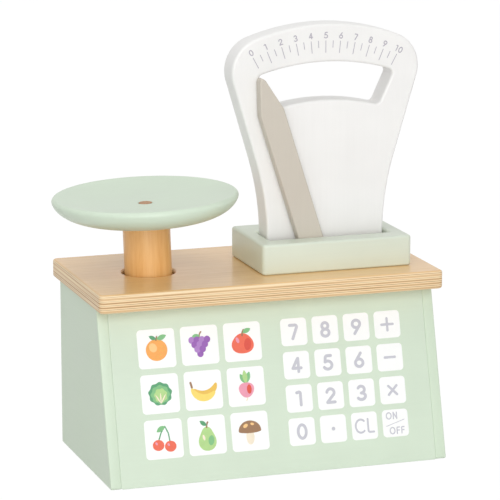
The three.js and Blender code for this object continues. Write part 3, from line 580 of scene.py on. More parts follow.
@dataclass(frozen=True)
class BirchPlywood:
    """Birch plywood under gloss lacquer: calm grain on the faces, pale plies and brown joints at the edges.

    The grain of the faces runs along x. Pattern sizes are along x, y and z. The shine and the coat are those
    of an edge and of a face, and a face is told from an edge by how far its normal points up or down.
    """

    name: str
    bottom: float
    thickness: float
    plies: int = 9
    face_light: str = "#f7cf95"
    face_dark: str = "#e0b070"
    ply_light: str = "#fae3bb"
    ply_dark: str = "#e0bc8f"
    joint: str = "#b08557"
    face_normal: tuple[float, float] = (0.72, 0.9)
    roughness: tuple[float, float] = (0.3, 0.42)
    shine: tuple[float, float] = (0.15, 0.5)
    coat: tuple[float, float] = (0.05, 0.4)
    figure: tuple[float, ...] = (150 * MM, 16 * MM, 16 * MM)
    figure_share: float = 0.6
    streak: tuple[float, ...] = (70 * MM, 1.9 * MM, 1.9 * MM)
    streak_share: float = 0.75
    pore: tuple[float, ...] = (9 * MM, 0.55 * MM, 0.55 * MM)
    pore_share: float = 0.12
    veneer_band: tuple[float, float] = (0.35, 1.0)
    ripple: tuple[float, ...] = (14 * MM, 14 * MM, 30 * MM)
    ripple_share: float = 0.05
    fibre: tuple[float, ...] = (30 * MM, 30 * MM, 0.4 * MM)
    fibre_share: float = 0.5
    ply_change: tuple[float, float] = (0.36, 0.64)
    ply_shades: tuple[float, float] = (-0.3, 0.7)
    joint_half: tuple[float, float] = (0.08, 0.22)
    joint_run: tuple[float, ...] = (90 * MM, 90 * MM, 1.3 * MM)
    joint_fade: tuple[float, float] = (0.4, 0.6)
    joint_strength: tuple[float, float] = (0.05, 1.0)
    relief: float = 0.02 * MM

    def material(self) -> bpy.types.Material:
        """Builds the plywood: edge plies and the faces' veneer, told apart by the way a surface faces.

        Returns:
            The material.
        """
        made, tree, place = new_material(self.name)
        streaks = sized_pattern(tree, place, self.streak, 5, distortion=0.3)
        normal = add_node(tree, "NewGeometry", output="Normal")
        upright = add_node(tree, "SeparateXYZ", (normal,), "Z")
        facing = add_node(tree, "Math", (upright,), operation="ABSOLUTE")
        face = add_node(tree, "MapRange", (facing, *self.face_normal, 0, 1))
        edge, veneer = self._edge(tree, place), self._veneer(tree, place, streaks)
        colour = add_node(tree, "Mix", {0: face, 6: edge, 7: veneer}, 2, **COLOUR_MIX)
        # the end grain soaks up the lacquer, so the edges shine less than the faces
        shine = add_node(tree, "MapRange", (face, 0, 1, *self.shine))
        coat = add_node(tree, "MapRange", (face, 0, 1, *self.coat))
        rough = add_node(tree, "MapRange", (streaks, 0, 1, *self.roughness))
        finish_shader(tree, colour, rough, streaks, self.relief, IOR=1.5, Specular_IOR_Level=shine,
                      Coat_Weight=coat, Coat_Roughness=0.12, Coat_IOR=1.5)
        return made

    def _veneer(self, tree: bpy.types.NodeTree, place: Socket, streaks: Socket) -> Socket:
        """The faces: broad figure, narrow streaks and pores, which are drawn coarser than birch has them.

        Args:
            tree: the material's tree.
            place: socket of the coordinates.
            streaks: socket of the streaks.

        Returns:
            The colour's socket.
        """
        figure = sized_pattern(tree, place, self.figure, 2, distortion=0.6)
        pores = sized_pattern(tree, place, self.pore, 2)
        specks = add_node(tree, "MapRange", (pores, *CLOUD_BAND, -self.pore_share, self.pore_share))
        grain = add_node(tree, "Math", (streaks, self.streak_share, specks), **MULTIPLY_ADD)
        tone = add_node(tree, "Math", (figure, self.figure_share, grain), **MULTIPLY_ADD)
        share = add_node(tree, "MapRange", (tone, *self.veneer_band, 0, 1))
        dark, light = linear(self.face_dark), linear(self.face_light)
        return add_node(tree, "Mix", {0: share, 6: dark, 7: light}, 2, **COLOUR_MIX)

    def _edge(self, tree: bpy.types.NodeTree, place: Socket) -> Socket:
        """The edges: plies counted up from the bottom, in two shades, with joints that fade in and out.

        Args:
            tree: the material's tree.
            place: socket of the coordinates.

        Returns:
            The colour's socket.
        """
        ripple = sized_pattern(tree, place, self.ripple, 2)
        height = add_node(tree, "SeparateXYZ", (place,), "Z")
        first_joint = self.bottom + self.thickness / self.plies
        low = -self.ripple_share / 2
        count = add_node(tree, "MapRange", (height, self.bottom, first_joint, low, low + 1), clamp=False)
        level = add_node(tree, "Math", (ripple, self.ripple_share, count), **MULTIPLY_ADD)
        # turn rises through one ply and falls through the next, and gap is how far the nearest joint is
        turn = add_node(tree, "Math", (level, 1.0), operation="PINGPONG")
        gap = add_node(tree, "Math", (level, 0.5), operation="PINGPONG")
        fibres = sized_pattern(tree, place, self.fibre, 3)
        every_other = add_node(tree, "MapRange", (turn, *self.ply_change, *self.ply_shades))
        shade = add_node(tree, "Math", (fibres, self.fibre_share, every_other), use_clamp=True,
                         **MULTIPLY_ADD)
        light, dark = linear(self.ply_light), linear(self.ply_dark)
        ply = add_node(tree, "Mix", {0: shade, 6: light, 7: dark}, 2, **COLOUR_MIX)
        run = sized_pattern(tree, place, self.joint_run, 1)
        strength = add_node(tree, "MapRange", (run, *self.joint_fade, *self.joint_strength))
        near = add_node(tree, "MapRange", (gap, *self.joint_half, 1, 0))
        line = add_node(tree, "Math", (near, strength), operation="MULTIPLY")
        return add_node(tree, "Mix", {0: line, 6: ply, 7: linear(self.joint)}, 2, **COLOUR_MIX)


@dataclass(frozen=True)
class SolidWood:
    """Turned or sawn softwood and beech: growth lines along the grain, with short darker flecks."""

    name: str
    light: str
    dark: str
    grain: Axis = Axis.Z
    ring_width: float = 4.5 * MM
    fleck_width: float = 0.5 * MM
    roughness: float = 0.42
    coat: float = 0.3
    roughness_spread: tuple[float, float] = (-0.06, 0.08)
    ring_length: float = 120 * MM
    fleck_length: float = 11 * MM
    fleck_share: float = 0.5
    tone_band: tuple[float, float] = (0.45, 1.05)
    relief: float = 0.03 * MM

    def material(self) -> bpy.types.Material:
        """Builds the wood: wide growth lines, narrow flecks and a light lacquer.

        Returns:
            The material.
        """
        made, tree, place = new_material(self.name)
        ring = along(self.grain, self.ring_length, self.ring_width)
        fleck = along(self.grain, self.fleck_length, self.fleck_width)
        rings = sized_pattern(tree, place, ring, 3, distortion=0.5)
        flecks = sized_pattern(tree, place, fleck, 3)
        tone = add_node(tree, "Math", (flecks, self.fleck_share, rings), **MULTIPLY_ADD)
        share = add_node(tree, "MapRange", (tone, *self.tone_band, 0, 1))
        dark, light = linear(self.dark), linear(self.light)
        colour = add_node(tree, "Mix", {0: share, 6: dark, 7: light}, 2, **COLOUR_MIX)
        gloss, dull = (self.roughness + spread for spread in self.roughness_spread)
        rough = add_node(tree, "MapRange", (flecks, 0, 1, gloss, dull))
        finish_shader(tree, colour, rough, flecks, self.relief, IOR=1.5, Coat_Weight=self.coat,
                      Coat_Roughness=0.2)
        return made


@dataclass(frozen=True)
class ScreenInk:
    """Screen-printed ink, a flat opaque film whose colour is a little uneven, as a squeegee leaves it."""

    name: str
    colour: str
    unevenness: float = 0.03
    roughness: float = 0.4
    roughness_spread: tuple[float, float] = (-0.05, 0.05)
    patch: float = 3 * MM
    stipple: float = 0.3 * MM
    relief: float = 0.008 * MM

    def material(self) -> bpy.types.Material:
        """Builds the ink: lighter and darker patches, and a fine stipple.

        Returns:
            The material.
        """
        made, tree, place = new_material(self.name)
        patches = sized_pattern(tree, place, self.patch, 3)
        # the screen's mesh is finer than this: its stipple is drawn coarser, so that it shows
        stipple = sized_pattern(tree, place, self.stipple, 1)
        dark, light = linear(self.colour, 1 - self.unevenness), linear(self.colour, 1 + self.unevenness)
        colour = add_node(tree, "Mix", {0: patches, 6: dark, 7: light}, 2, **COLOUR_MIX)
        gloss, dull = (self.roughness + spread for spread in self.roughness_spread)
        rough = add_node(tree, "MapRange", (stipple, 0, 1, gloss, dull))
        finish_shader(tree, colour, rough, stipple, self.relief, IOR=1.5)
        return made


@dataclass(frozen=True)
class DrawnSteel:
    """Zinc-plated or bright drawn steel: fine lines along the wire or shank, with duller patches."""

    name: str
    colour: str
    roughness: float = 0.32
    roughness_spread: tuple[float, float] = (-0.08, 0.12)
    shades: tuple[float, float] = (0.85, 1.1)
    line: tuple[float, ...] = (0.2 * MM, 0.2 * MM, 6 * MM)
    cloud: float = 2 * MM
    relief: float = 0.01 * MM

    def material(self) -> bpy.types.Material:
        """Builds the metal: drawing lines, and the plating's clouds.

        Returns:
            The material.
        """
        made, tree, place = new_material(self.name)
        # real drawing lines are much finer: these are drawn coarser, so that they show
        lines = sized_pattern(tree, place, self.line, 2)
        clouds = sized_pattern(tree, place, self.cloud, 2)
        dark, light = (linear(self.colour, shade) for shade in self.shades)
        colour = add_node(tree, "Mix", {0: clouds, 6: dark, 7: light}, 2, **COLOUR_MIX)
        gloss, dull = (self.roughness + spread for spread in self.roughness_spread)
        rough = add_node(tree, "MapRange", (clouds, *CLOUD_BAND, gloss, dull))
        finish_shader(tree, colour, rough, lines, self.relief, Metallic=1.0)
        return made


@dataclass(frozen=True)
class MouldedNylon:
    """Moulded nylon: a milky matt skin with a fine spark-eroded texture."""

    name: str
    colour: str
    roughness: tuple[float, float] = (0.45, 0.6)
    shades: tuple[float, float] = (0.95, 1.03)
    cloud: float = 6 * MM
    texture: float = 0.4 * MM
    relief: float = 0.02 * MM

    def material(self) -> bpy.types.Material:
        """Builds the nylon: the mould's texture and faint flow clouds.

        Returns:
            The material.
        """
        made, tree, place = new_material(self.name)
        clouds = sized_pattern(tree, place, self.cloud, 2)
        # the mould's sparks leave a finer texture: it is drawn coarser, so that it shows
        texture = sized_pattern(tree, place, self.texture, 1)
        dark, light = (linear(self.colour, shade) for shade in self.shades)
        colour = add_node(tree, "Mix", {0: clouds, 6: dark, 7: light}, 2, **COLOUR_MIX)
        rough = add_node(tree, "MapRange", (texture, 0, 1, *self.roughness))
        finish_shader(tree, colour, rough, texture, self.relief, IOR=1.53)
        return made


Finish = PaintedWood | BirchPlywood | SolidWood | ScreenInk | DrawnSteel | MouldedNylon
_made: dict[str, bpy.types.Material] = {}


def dress(piece: bpy.types.Object, finish: Finish) -> None:
    """Gives a piece its finish, which is made once for each name.

    Args:
        piece: the piece.
        finish: its finish.
    """
    if finish.name not in _made:
        _made[finish.name] = finish.material()
    piece.data.materials.clear()
    piece.data.materials.append(_made[finish.name])


def add_piece(name: str, grids: Iterable[Grid], finish: Finish, body: Body, stands_for: Sequence[str] = ()) -> bpy.types.Object:
    """Makes a piece, dresses it and lets it ride on its body.

    Args:
        name: the piece's name.
        grids: its surfaces.
        finish: its material.
        body: the body that it moves with.
        stands_for: nodes that it is shown instead of.

    Returns:
        The piece.
    """
    piece = make_object(name, grids)
    dress(piece, finish)
    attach(piece, body.value)
    if stands_for:
        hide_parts(*stands_for)
    LOG.info("%s: %d faces on %s", name, len(piece.data.polygons), body.value)
    return piece


BOARD_LOW, BOARD_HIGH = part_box("top_board")
PRODUCE_UNEVENNESS = 0.07

# satin paint: an even colour in which the grain of each board is only just seen
MINT_ACROSS = PaintedWood("mint_paint_on_beech_across", "#d3e2ce", Axis.X)
# the side panels' mint is a little warmer and yellower than the front's: painted warm light on the same mint
# paint, standing in for the warm bounce that the sides get
MINT_DEEP_WITH_PAINTED_WARM_LIGHT = PaintedWood("mint_paint_on_beech_from_front_to_back", "#d2e2cc", Axis.Y)
# the block's mint is paler and greyer than the box's: painted reflection of the white studio on the same mint
# paint
MINT_BLOCK_PALED_BY_PAINTED_REFLECTION = PaintedWood("mint_paint_on_beech_paled_as_painted_reflection", "#d8e0d0", Axis.X, 0.36)
WHITE_PAINT = PaintedWood("white_paint_on_birch", "#f1f0ee", Axis.Z, 0.4)
BEIGE_PAINT = PaintedWood("greige_paint_on_beech", "#cbc3b6", Axis.Z, 0.45)
# ink: flat and opaque, with hard edges
KEY_INK = ScreenInk("white_screen_ink", "#fbfcfb", 0.008)
LETTER_INK = ScreenInk("light_grey_screen_ink", "#c6c6cf")
SCALE_INK = ScreenInk("lilac_grey_screen_ink", "#b3adb8")
# wood: warm, with its lines along the grain, glossy where it is lacquered and dull where it is only sanded
PLYWOOD = BirchPlywood("birch_plywood_gloss_lacquer", BOARD_LOW.z, BOARD_HIGH.z - BOARD_LOW.z)
PINE = SolidWood("lacquered_pine_turned", "#f6c887", "#e2a75f")
BEECH = SolidWood("sanded_beech_sawn", "#dcb78d", "#bd9167", Axis.X, roughness=0.6, coat=0.0)
PLUG_WOOD = SolidWood("dark_wood_plug_end_grain", "#c79a73", "#a0704a", Axis.Z, ring_width=1.2 * MM,
                      fleck_width=0.35 * MM, roughness=0.55, coat=0.0)
# metal and plastic: grey with soft bright lines, and milky white
ZINC = DrawnSteel("zinc_plated_screw_steel", "#b9bcc0")
BRIGHT_STEEL = DrawnSteel("bright_drawn_steel", "#c6c8ca", 0.25)
NYLON = MouldedNylon("moulded_nylon", "#e4e2da")

SLOT_FINISHES: dict[str, Finish] = {
    "beech": BEECH, "zinc_steel": ZINC, "bright_steel": BRIGHT_STEEL, "nylon": NYLON, "pine": PINE,
    "mint_paint": MINT_ACROSS, "white_paint": WHITE_PAINT, "beige_paint": BEIGE_PAINT, "plug_wood": PLUG_WOOD,
    "lacquered_plywood": PLYWOOD,
}


# The box


@dataclass
class Box:
    """The painted panels of the body, with softly rounded edges and fine grooves where two panels meet."""

    edge: float = 0.9 * MM
    groove: float = 0.4 * MM
    corner: float = 1.2 * MM

    def build(self) -> None:
        """Makes the two sides, the slanted front and the back in the places of their nodes."""
        for side, sign in (("left", -1), ("right", 1)):
            self._side(f"{side}_side_panel", sign)
        self._front()
        low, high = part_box("back_panel")
        outline = rectangle(low.x, high.x, low.z, high.z, self.corner)
        back = plate(Plane((0, high.y, 0), normal=(0, 1, 0)), outline, 0, low.y - high.y, self.groove)
        add_piece("back_panel_painted", [back], MINT_ACROSS, Body.HOUSING, ["back_panel"])

    def _side(self, node: str, sign: int) -> None:
        """A side panel: an upright plate whose front edge follows the slanted front.

        Args:
            node: the panel's node.
            sign: -1 for the left panel, 1 for the right one.
        """
        low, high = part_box(node)
        top_front = self.slant()[1]
        corners = [(low.y, low.z), (high.y, low.z), (high.y, high.z), (top_front, high.z)]
        outer_x = high.x if sign > 0 else low.x
        plane = Plane((outer_x, 0, 0), (0, 1, 0), (0, 0, 1), (sign, 0, 0))
        outline = filleted(corners, self.corner)
        panel = plate(plane, outline, 0, low.x - high.x, self.edge, back_radius=self.groove)
        # the side panel's warmer mint is painted warm light, not a paint of its own
        add_piece(f"{node}_painted", [panel], MINT_DEEP_WITH_PAINTED_WARM_LIGHT, Body.HOUSING, [node])

    def _front(self) -> None:
        """The front panel: an upright plate sheared back with its height."""
        low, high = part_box("front_panel")
        bottom_front, top_front, run = self.slant()
        lean = (top_front - bottom_front) / high.z
        outline = rectangle(low.x, high.x, low.z, high.z, self.corner)
        panel = plate(Plane((0, bottom_front, 0), up=(0, lean, 1)), outline, 0, -run, self.groove)
        add_piece("front_panel_painted", [panel], MINT_ACROSS, Body.HOUSING, ["front_panel"])

    @staticmethod
    def slant() -> tuple[float, float, float]:
        """Where the slanted front lies.

        Returns:
            The front's y at the floor and at the top, and how deep a level cut through its panel is.
        """
        low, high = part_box("front_panel")
        base_low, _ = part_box("base_board")
        run = base_low.y - low.y
        return low.y, high.y - run, run


# The plywood top


@dataclass
class Top:
    """The plywood top with its round hole for the post and its slot for the pointer."""

    corner: float = 3.5 * MM
    edge: float = 1.6 * MM
    hole_radius: float = 17.2 * MM
    hole_sides: int = 120
    slot_half: float = 16 * MM
    slot_corner: float = 0.5 * MM
    tool_edge: float = 0.1 * MM

    def build(self, post: Vector) -> None:
        """Makes the top round the post's hole, and cuts the slot that the block hides.

        Args:
            post: the place of the hole's centre on the top.
        """
        low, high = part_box("top_board")
        outer = rectangle(low.x, high.x, low.y, high.y, self.corner)
        hole = ellipse((post.x, post.y), self.hole_radius, self.hole_sides)
        outer, hole = paired(outer, hole, (post.x, post.y))
        plane = level_at(low.z)
        board = plate(plane, outer, high.z - low.z, 0, self.edge, inner=hole)
        piece = add_piece("plywood_top", [board], PLYWOOD, Body.HOUSING, ["top_board"])
        self._cut_slot(piece, plane, high.z - low.z)

    def _cut_slot(self, piece: bpy.types.Object, plane: Plane, thickness: float) -> None:
        """Takes the pointer's slot out of the top, keeps the cut mesh and shades its level faces flat.

        Args:
            piece: the top.
            plane: its underside.
            thickness: its thickness.
        """
        front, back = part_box("front_bearer")[1].y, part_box("rear_bearer")[0].y
        axle_low, axle_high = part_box("pointer_axle")
        middle = (axle_low.x + axle_high.x) / 2
        outline = rectangle(middle - self.slot_half, middle + self.slot_half, front, back, self.slot_corner)
        tool = make_object("slot_tool", [plate(plane, outline, 2 * thickness, -thickness, self.tool_edge)])
        cut = piece.modifiers.new("slot", "BOOLEAN")
        cut.operation, cut.solver, cut.object = "DIFFERENCE", "EXACT", tool
        shown = piece.evaluated_get(bpy.context.evaluated_depsgraph_get())
        mesh = bpy.data.meshes.new_from_object(shown)
        piece.modifiers.clear()
        normals = np.empty(3 * len(mesh.polygons), np.float32)
        mesh.polygons.foreach_get("normal", normals)
        mesh.polygons.foreach_set("use_smooth", np.abs(normals[2::3]) < LEVEL)
        piece.data = mesh
        bpy.data.objects.remove(tool)


# Lettering


Stroke = tuple[Array, bool]
LETTER_BEND = 0.11  # radius of a stroke's corners on a cap height of 1
LOOP_SIDES = 36


@dataclass(frozen=True)
class Lettering:
    """Plain round-ended letters drawn with strokes of one width.

    Attributes:
        height: cap height.
        weight: stroke width as a share of the cap height.
        spacing: gap between letters as a share of the cap height.
        stretch: width against a normal letter's.
        overlap: how much higher each further stroke of a letter lies.
    """

    height: float
    weight: float
    spacing: float = 0.2
    stretch: float = 1.0
    overlap: float = 0.012 * MM

    @staticmethod
    def strokes(letter: str) -> tuple[float, list[Stroke]]:
        """Draws a letter on a cap height of 1 from straight runs, arcs and ellipses.

        Args:
            letter: a digit, a sign or a capital that the scale needs.

        Returns:
            The letter's width, and its strokes' middle lines with whether each is closed.
        """
        def line(*points: tuple[float, float]) -> Stroke:
            """A stroke of straight runs with round corners."""
            return filleted(points, LETTER_BEND, closed=False), False

        def loop(x: float, y: float, rx: float, ry: float) -> Stroke:
            """A closed elliptic stroke."""
            return ellipse((x, y), (rx, ry), LOOP_SIDES), True

        def path(*runs: Array) -> Stroke:
            """A stroke through arcs and points."""
            return np.vstack(runs), False

        shapes: dict[str, tuple[float, list[Stroke]]] = {
            "0": (0.6, [loop(0.3, 0.5, 0.24, 0.43)]),
            "1": (0.4, [line((0.06, 0.86), (0.28, 0.93), (0.28, 0.07))]),
            "2": (0.6, [path(arc((0.3, 0.69), (0.22, 0.24), 170, -28, 20), [[0.09, 0.09]]),
                        line((0.08, 0.07), (0.54, 0.07))]),
            "3": (0.6, [path(arc((0.27, 0.71), (0.2, 0.22), 150, -90, 18)),
                        path(arc((0.27, 0.28), (0.24, 0.21), 90, -150, 20))]),
            "4": (0.64, [line((0.42, 0.07), (0.42, 0.92)), line((0.4, 0.92), (0.08, 0.3)),
                         line((0.08, 0.3), (0.58, 0.3))]),
            "5": (0.6, [line((0.5, 0.93), (0.17, 0.93), (0.13, 0.54)),
                        path(arc((0.28, 0.33), (0.25, 0.26), 125, -150, 22))]),
            "6": (0.6, [line((0.42, 0.93), (0.1, 0.42)), loop(0.3, 0.31, 0.23, 0.24)]),
            "7": (0.58, [line((0.06, 0.93), (0.53, 0.93), (0.2, 0.07))]),
            "8": (0.6, [loop(0.3, 0.725, 0.185, 0.205), loop(0.3, 0.285, 0.225, 0.225)]),
            "9": (0.6, [line((0.18, 0.07), (0.5, 0.58)), loop(0.3, 0.69, 0.23, 0.24)]),
            "+": (0.86, [line((0.05, 0.5), (0.81, 0.5)), line((0.43, 0.12), (0.43, 0.88))]),
            "-": (0.8, [line((0.06, 0.5), (0.74, 0.5))]),
            "x": (0.7, [line((0.07, 0.22), (0.63, 0.78)), line((0.07, 0.78), (0.63, 0.22))]),
            ".": (0.3, [line((0.148, 0.5), (0.152, 0.5))]),
            "C": (0.72, [path(arc((0.42, 0.5), (0.36, 0.44), 48, 312, 30))]),
            "L": (0.52, [line((0.08, 0.94), (0.08, 0.06), (0.48, 0.06))]),
            "O": (0.84, [loop(0.42, 0.5, 0.35, 0.43)]),
            "N": (0.66, [line((0.09, 0.07), (0.09, 0.93)), line((0.09, 0.92), (0.57, 0.08)),
                         line((0.57, 0.07), (0.57, 0.93))]),
            "F": (0.52, [line((0.09, 0.07), (0.09, 0.93), (0.46, 0.93)), line((0.09, 0.52), (0.41, 0.52))]),
        }
        return shapes[letter]

    def write(self, text: str, plane: Plane, centre: Sequence[float], ink: float,
              tilt: float = 0.0) -> list[Grid]:
        """Writes centred letters.

        Args:
            text: the letters.
            plane: where they are printed.
            centre: the middle of the word on the plane.
            ink: height of the ink over the plane.
            tilt: clockwise turn in radians.

        Returns:
            The strokes' surfaces.
        """
        drawn = [self.strokes(letter) for letter in text]
        width = sum(letter_width for letter_width, _ in drawn) + self.spacing * (len(drawn) - 1)
        grids, x = [], -width / 2
        for letter_width, strokes in drawn:
            for layer, (points, closed) in enumerate(strokes):
                local = (points + [x, -0.5]) * [self.height * self.stretch, self.height]
                place = np.array(centre) + local @ turning(-tilt)
                front = ink + layer * self.overlap
                grids.append(ribbon(plane, place, self.weight * self.height, front, -ink, closed))
            x += letter_width + self.spacing
        return grids


DIAL_NUMBERS = Lettering(4.1 * MM, 0.17, stretch=1.05)
KEY_DIGITS = Lettering(10 * MM, 0.195, stretch=1.12)
KEY_SIGNS = Lettering(10.2 * MM, 0.16)
KEY_WORDS = {"CL": Lettering(9.6 * MM, 0.135, 0.14), ".": Lettering(10.2 * MM, 0.24)}  # styles of their own
SWITCH_WORDS = Lettering(4.7 * MM, 0.17, 0.16)


# The dial


@dataclass
class Dial:
    """The block with its slot, the fan-shaped dial plate with its window, and the printed scale.

    Angles are in degrees. The scale's shift and turn are those of its print on the plate.
    """

    block_corner: float = 3.0 * MM
    block_edge: float = 1.7 * MM
    slot_corner: float = 0.8 * MM
    slot_half: float = 41.2 * MM
    slot_clearance: float = 0.3 * MM
    plate_edge: float = 1.7 * MM
    top_radius: float = 145.5 * MM
    shoulder_radius: float = 22.5 * MM
    foot_half: float = 40 * MM
    foot_draft: float = 0.01 * MM
    waist_height: float = 44 * MM
    waist_round: float = 27 * MM
    window_top_rim: float = 24.6 * MM
    window_height: float = 24.6 * MM
    window_side_rim: float = 17 * MM
    window_slant: float = 10.2 * MM
    window_radii: tuple[float, float] = (150 * MM, 140 * MM)
    window_corner: float = 5 * MM
    window_fillet: float = 4 * MM
    window_middle: float = 37 * MM
    ink: float = 0.06 * MM
    scale_radius: float = 126 * MM
    scale_drop: float = 10.9 * MM
    scale_shift: float = -2.95 * MM
    scale_turn: float = 1.15
    scale_steps: int = 10
    number_radius: float = 129.6 * MM
    step_bearing: float = 4.58
    step_tilt: float = 5.74
    long_tick: float = 7.5 * MM
    short_tick: float = 4.3 * MM
    tick_width: float = 0.5 * MM
    low: Vector = field(init=False)
    high: Vector = field(init=False)

    def __post_init__(self) -> None:
        """Takes the plate's place from its node."""
        self.low, self.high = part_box("dial_plate")

    @property
    def middle(self) -> float:
        """The dial's middle line, as an x."""
        return (self.low.x + self.high.x) / 2

    @property
    def half(self) -> float:
        """Half of the plate's width."""
        return (self.high.x - self.low.x) / 2

    @property
    def height(self) -> float:
        """The plate's height over the top."""
        return self.high.z - self.low.z

    @property
    def face(self) -> Plane:
        """The dial's front face, drawn from the middle of its foot."""
        return Plane((self.middle, self.low.y, self.low.z))

    def build(self) -> None:
        """Makes the block, the plate and the printed scale."""
        self._block()
        outer, window = paired(self.outline(), self.window(), (0, self.height - self.window_middle))
        fan = plate(self.face, outer, 0, self.low.y - self.high.y, self.plate_edge, inner=window)
        add_piece("dial_plate_painted", [fan], WHITE_PAINT, Body.HOUSING, ["dial_plate"])
        self._scale()

    def _block(self) -> None:
        """The block: a slab whose section runs back through the slot."""
        low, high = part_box("dial_block")
        slot_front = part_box("front_bearer")[1].y
        slot_back = self.high.y + self.slot_clearance
        outer = rectangle(low.x, high.x, low.y, high.y, self.block_corner)
        slot = rectangle(self.middle - self.slot_half, self.middle + self.slot_half, slot_front, slot_back,
                         self.slot_corner)
        slab = plate(level_at(low.z), outer, high.z - low.z, 0, self.block_edge, inner=slot)
        # the block's paler, greyer mint is painted reflection
        add_piece("dial_block_painted", [slab], MINT_BLOCK_PALED_BY_PAINTED_REFLECTION, Body.HOUSING, ["dial_block"])

    def outline(self) -> Array:
        """The fan: an arched top, round shoulders, straight flares, a curved waist and a straight foot.

        The flare is the common tangent of the waist's corner and the shoulder's circle.

        Returns:
            The outline's points, counter-clockwise from the foot's right end.
        """
        crown = self.height - self.top_radius
        x = self.half - self.shoulder_radius
        y = crown + math.sqrt((self.top_radius - self.shoulder_radius) ** 2 - x ** 2)
        rise, out = y - self.waist_height, x - self.foot_half
        flare = math.atan2(out, rise) + math.asin(self.shoulder_radius / math.hypot(out, rise))
        shoulder = math.degrees(math.atan2(y - crown, x))
        bend = np.array([self.foot_half, self.waist_height])
        low = bend - [0, self.waist_round]
        high = bend + self.waist_round * np.array([math.sin(flare), math.cos(flare)])
        side = arc((x, y), self.shoulder_radius, -math.degrees(flare), shoulder, steps=30)
        right = np.vstack([[self.foot_half - self.foot_draft, 0], quadratic(low, bend, high, steps=24), side])
        roof = arc((0, crown), self.top_radius, shoulder, 180 - shoulder, steps=60)[1:-1]
        return np.vstack([right, roof, (right * [-1, 1])[::-1]])

    def window(self) -> Array:
        """The window: two arches joined by slanted ends, with a fillet in each of the four corners.

        Returns:
            The window's points, counter-clockwise from its upper right end.
        """
        crown = self.height - self.window_top_rim
        upper = self.half - self.window_side_rim
        lower = upper - self.window_slant
        top = arch(upper, crown, self.window_radii[0])
        sill = arch(lower, crown - self.window_height, self.window_radii[1])[::-1]
        roof = top[np.abs(top[:, 0]) < upper - self.window_corner]
        floor = sill[np.abs(sill[:, 0]) < lower - self.window_corner]
        bends = [filleted(points, self.window_fillet, closed=False, steps=8)[1:-1] for points in (
            (roof[-1], top[-1], sill[0]), (top[-1], sill[0], floor[0]),
            (floor[-1], sill[-1], top[0]), (sill[-1], top[0], roof[0]))]
        return np.vstack([roof, *bends[:2], floor, *bends[2:]])

    def _scale(self) -> None:
        """The printed scale: long and short ticks on an arc, each turned by its own tilt, and the numbers."""
        centre = np.array([self.scale_shift, self.height - self.scale_drop - self.scale_radius])
        ticks, numbers = [], []
        for half_step in range(2 * self.scale_steps + 1):
            step = (half_step - self.scale_steps) / 2
            bearing = math.radians(step * self.step_bearing + self.scale_turn)
            tilt = math.radians(step * self.step_tilt)
            spoke = np.array([math.sin(bearing), math.cos(bearing)])
            down = -np.array([math.sin(tilt), math.cos(tilt)])
            top = centre + self.scale_radius * spoke
            numbered = half_step % 2 == 0
            length = self.long_tick if numbered else self.short_tick
            path = np.linspace(top, top + down * length, STRAIGHT_POINTS)
            ticks.append(ribbon(self.face, path, self.tick_width, self.ink, -self.ink))
            if numbered:
                place = centre + self.number_radius * spoke
                numbers += DIAL_NUMBERS.write(str(half_step // 2), self.face, place, self.ink, tilt)
        add_piece("dial_ticks", ticks, SCALE_INK, Body.HOUSING)
        add_piece("dial_numbers", numbers, SCALE_INK, Body.HOUSING)


# Keys on the front


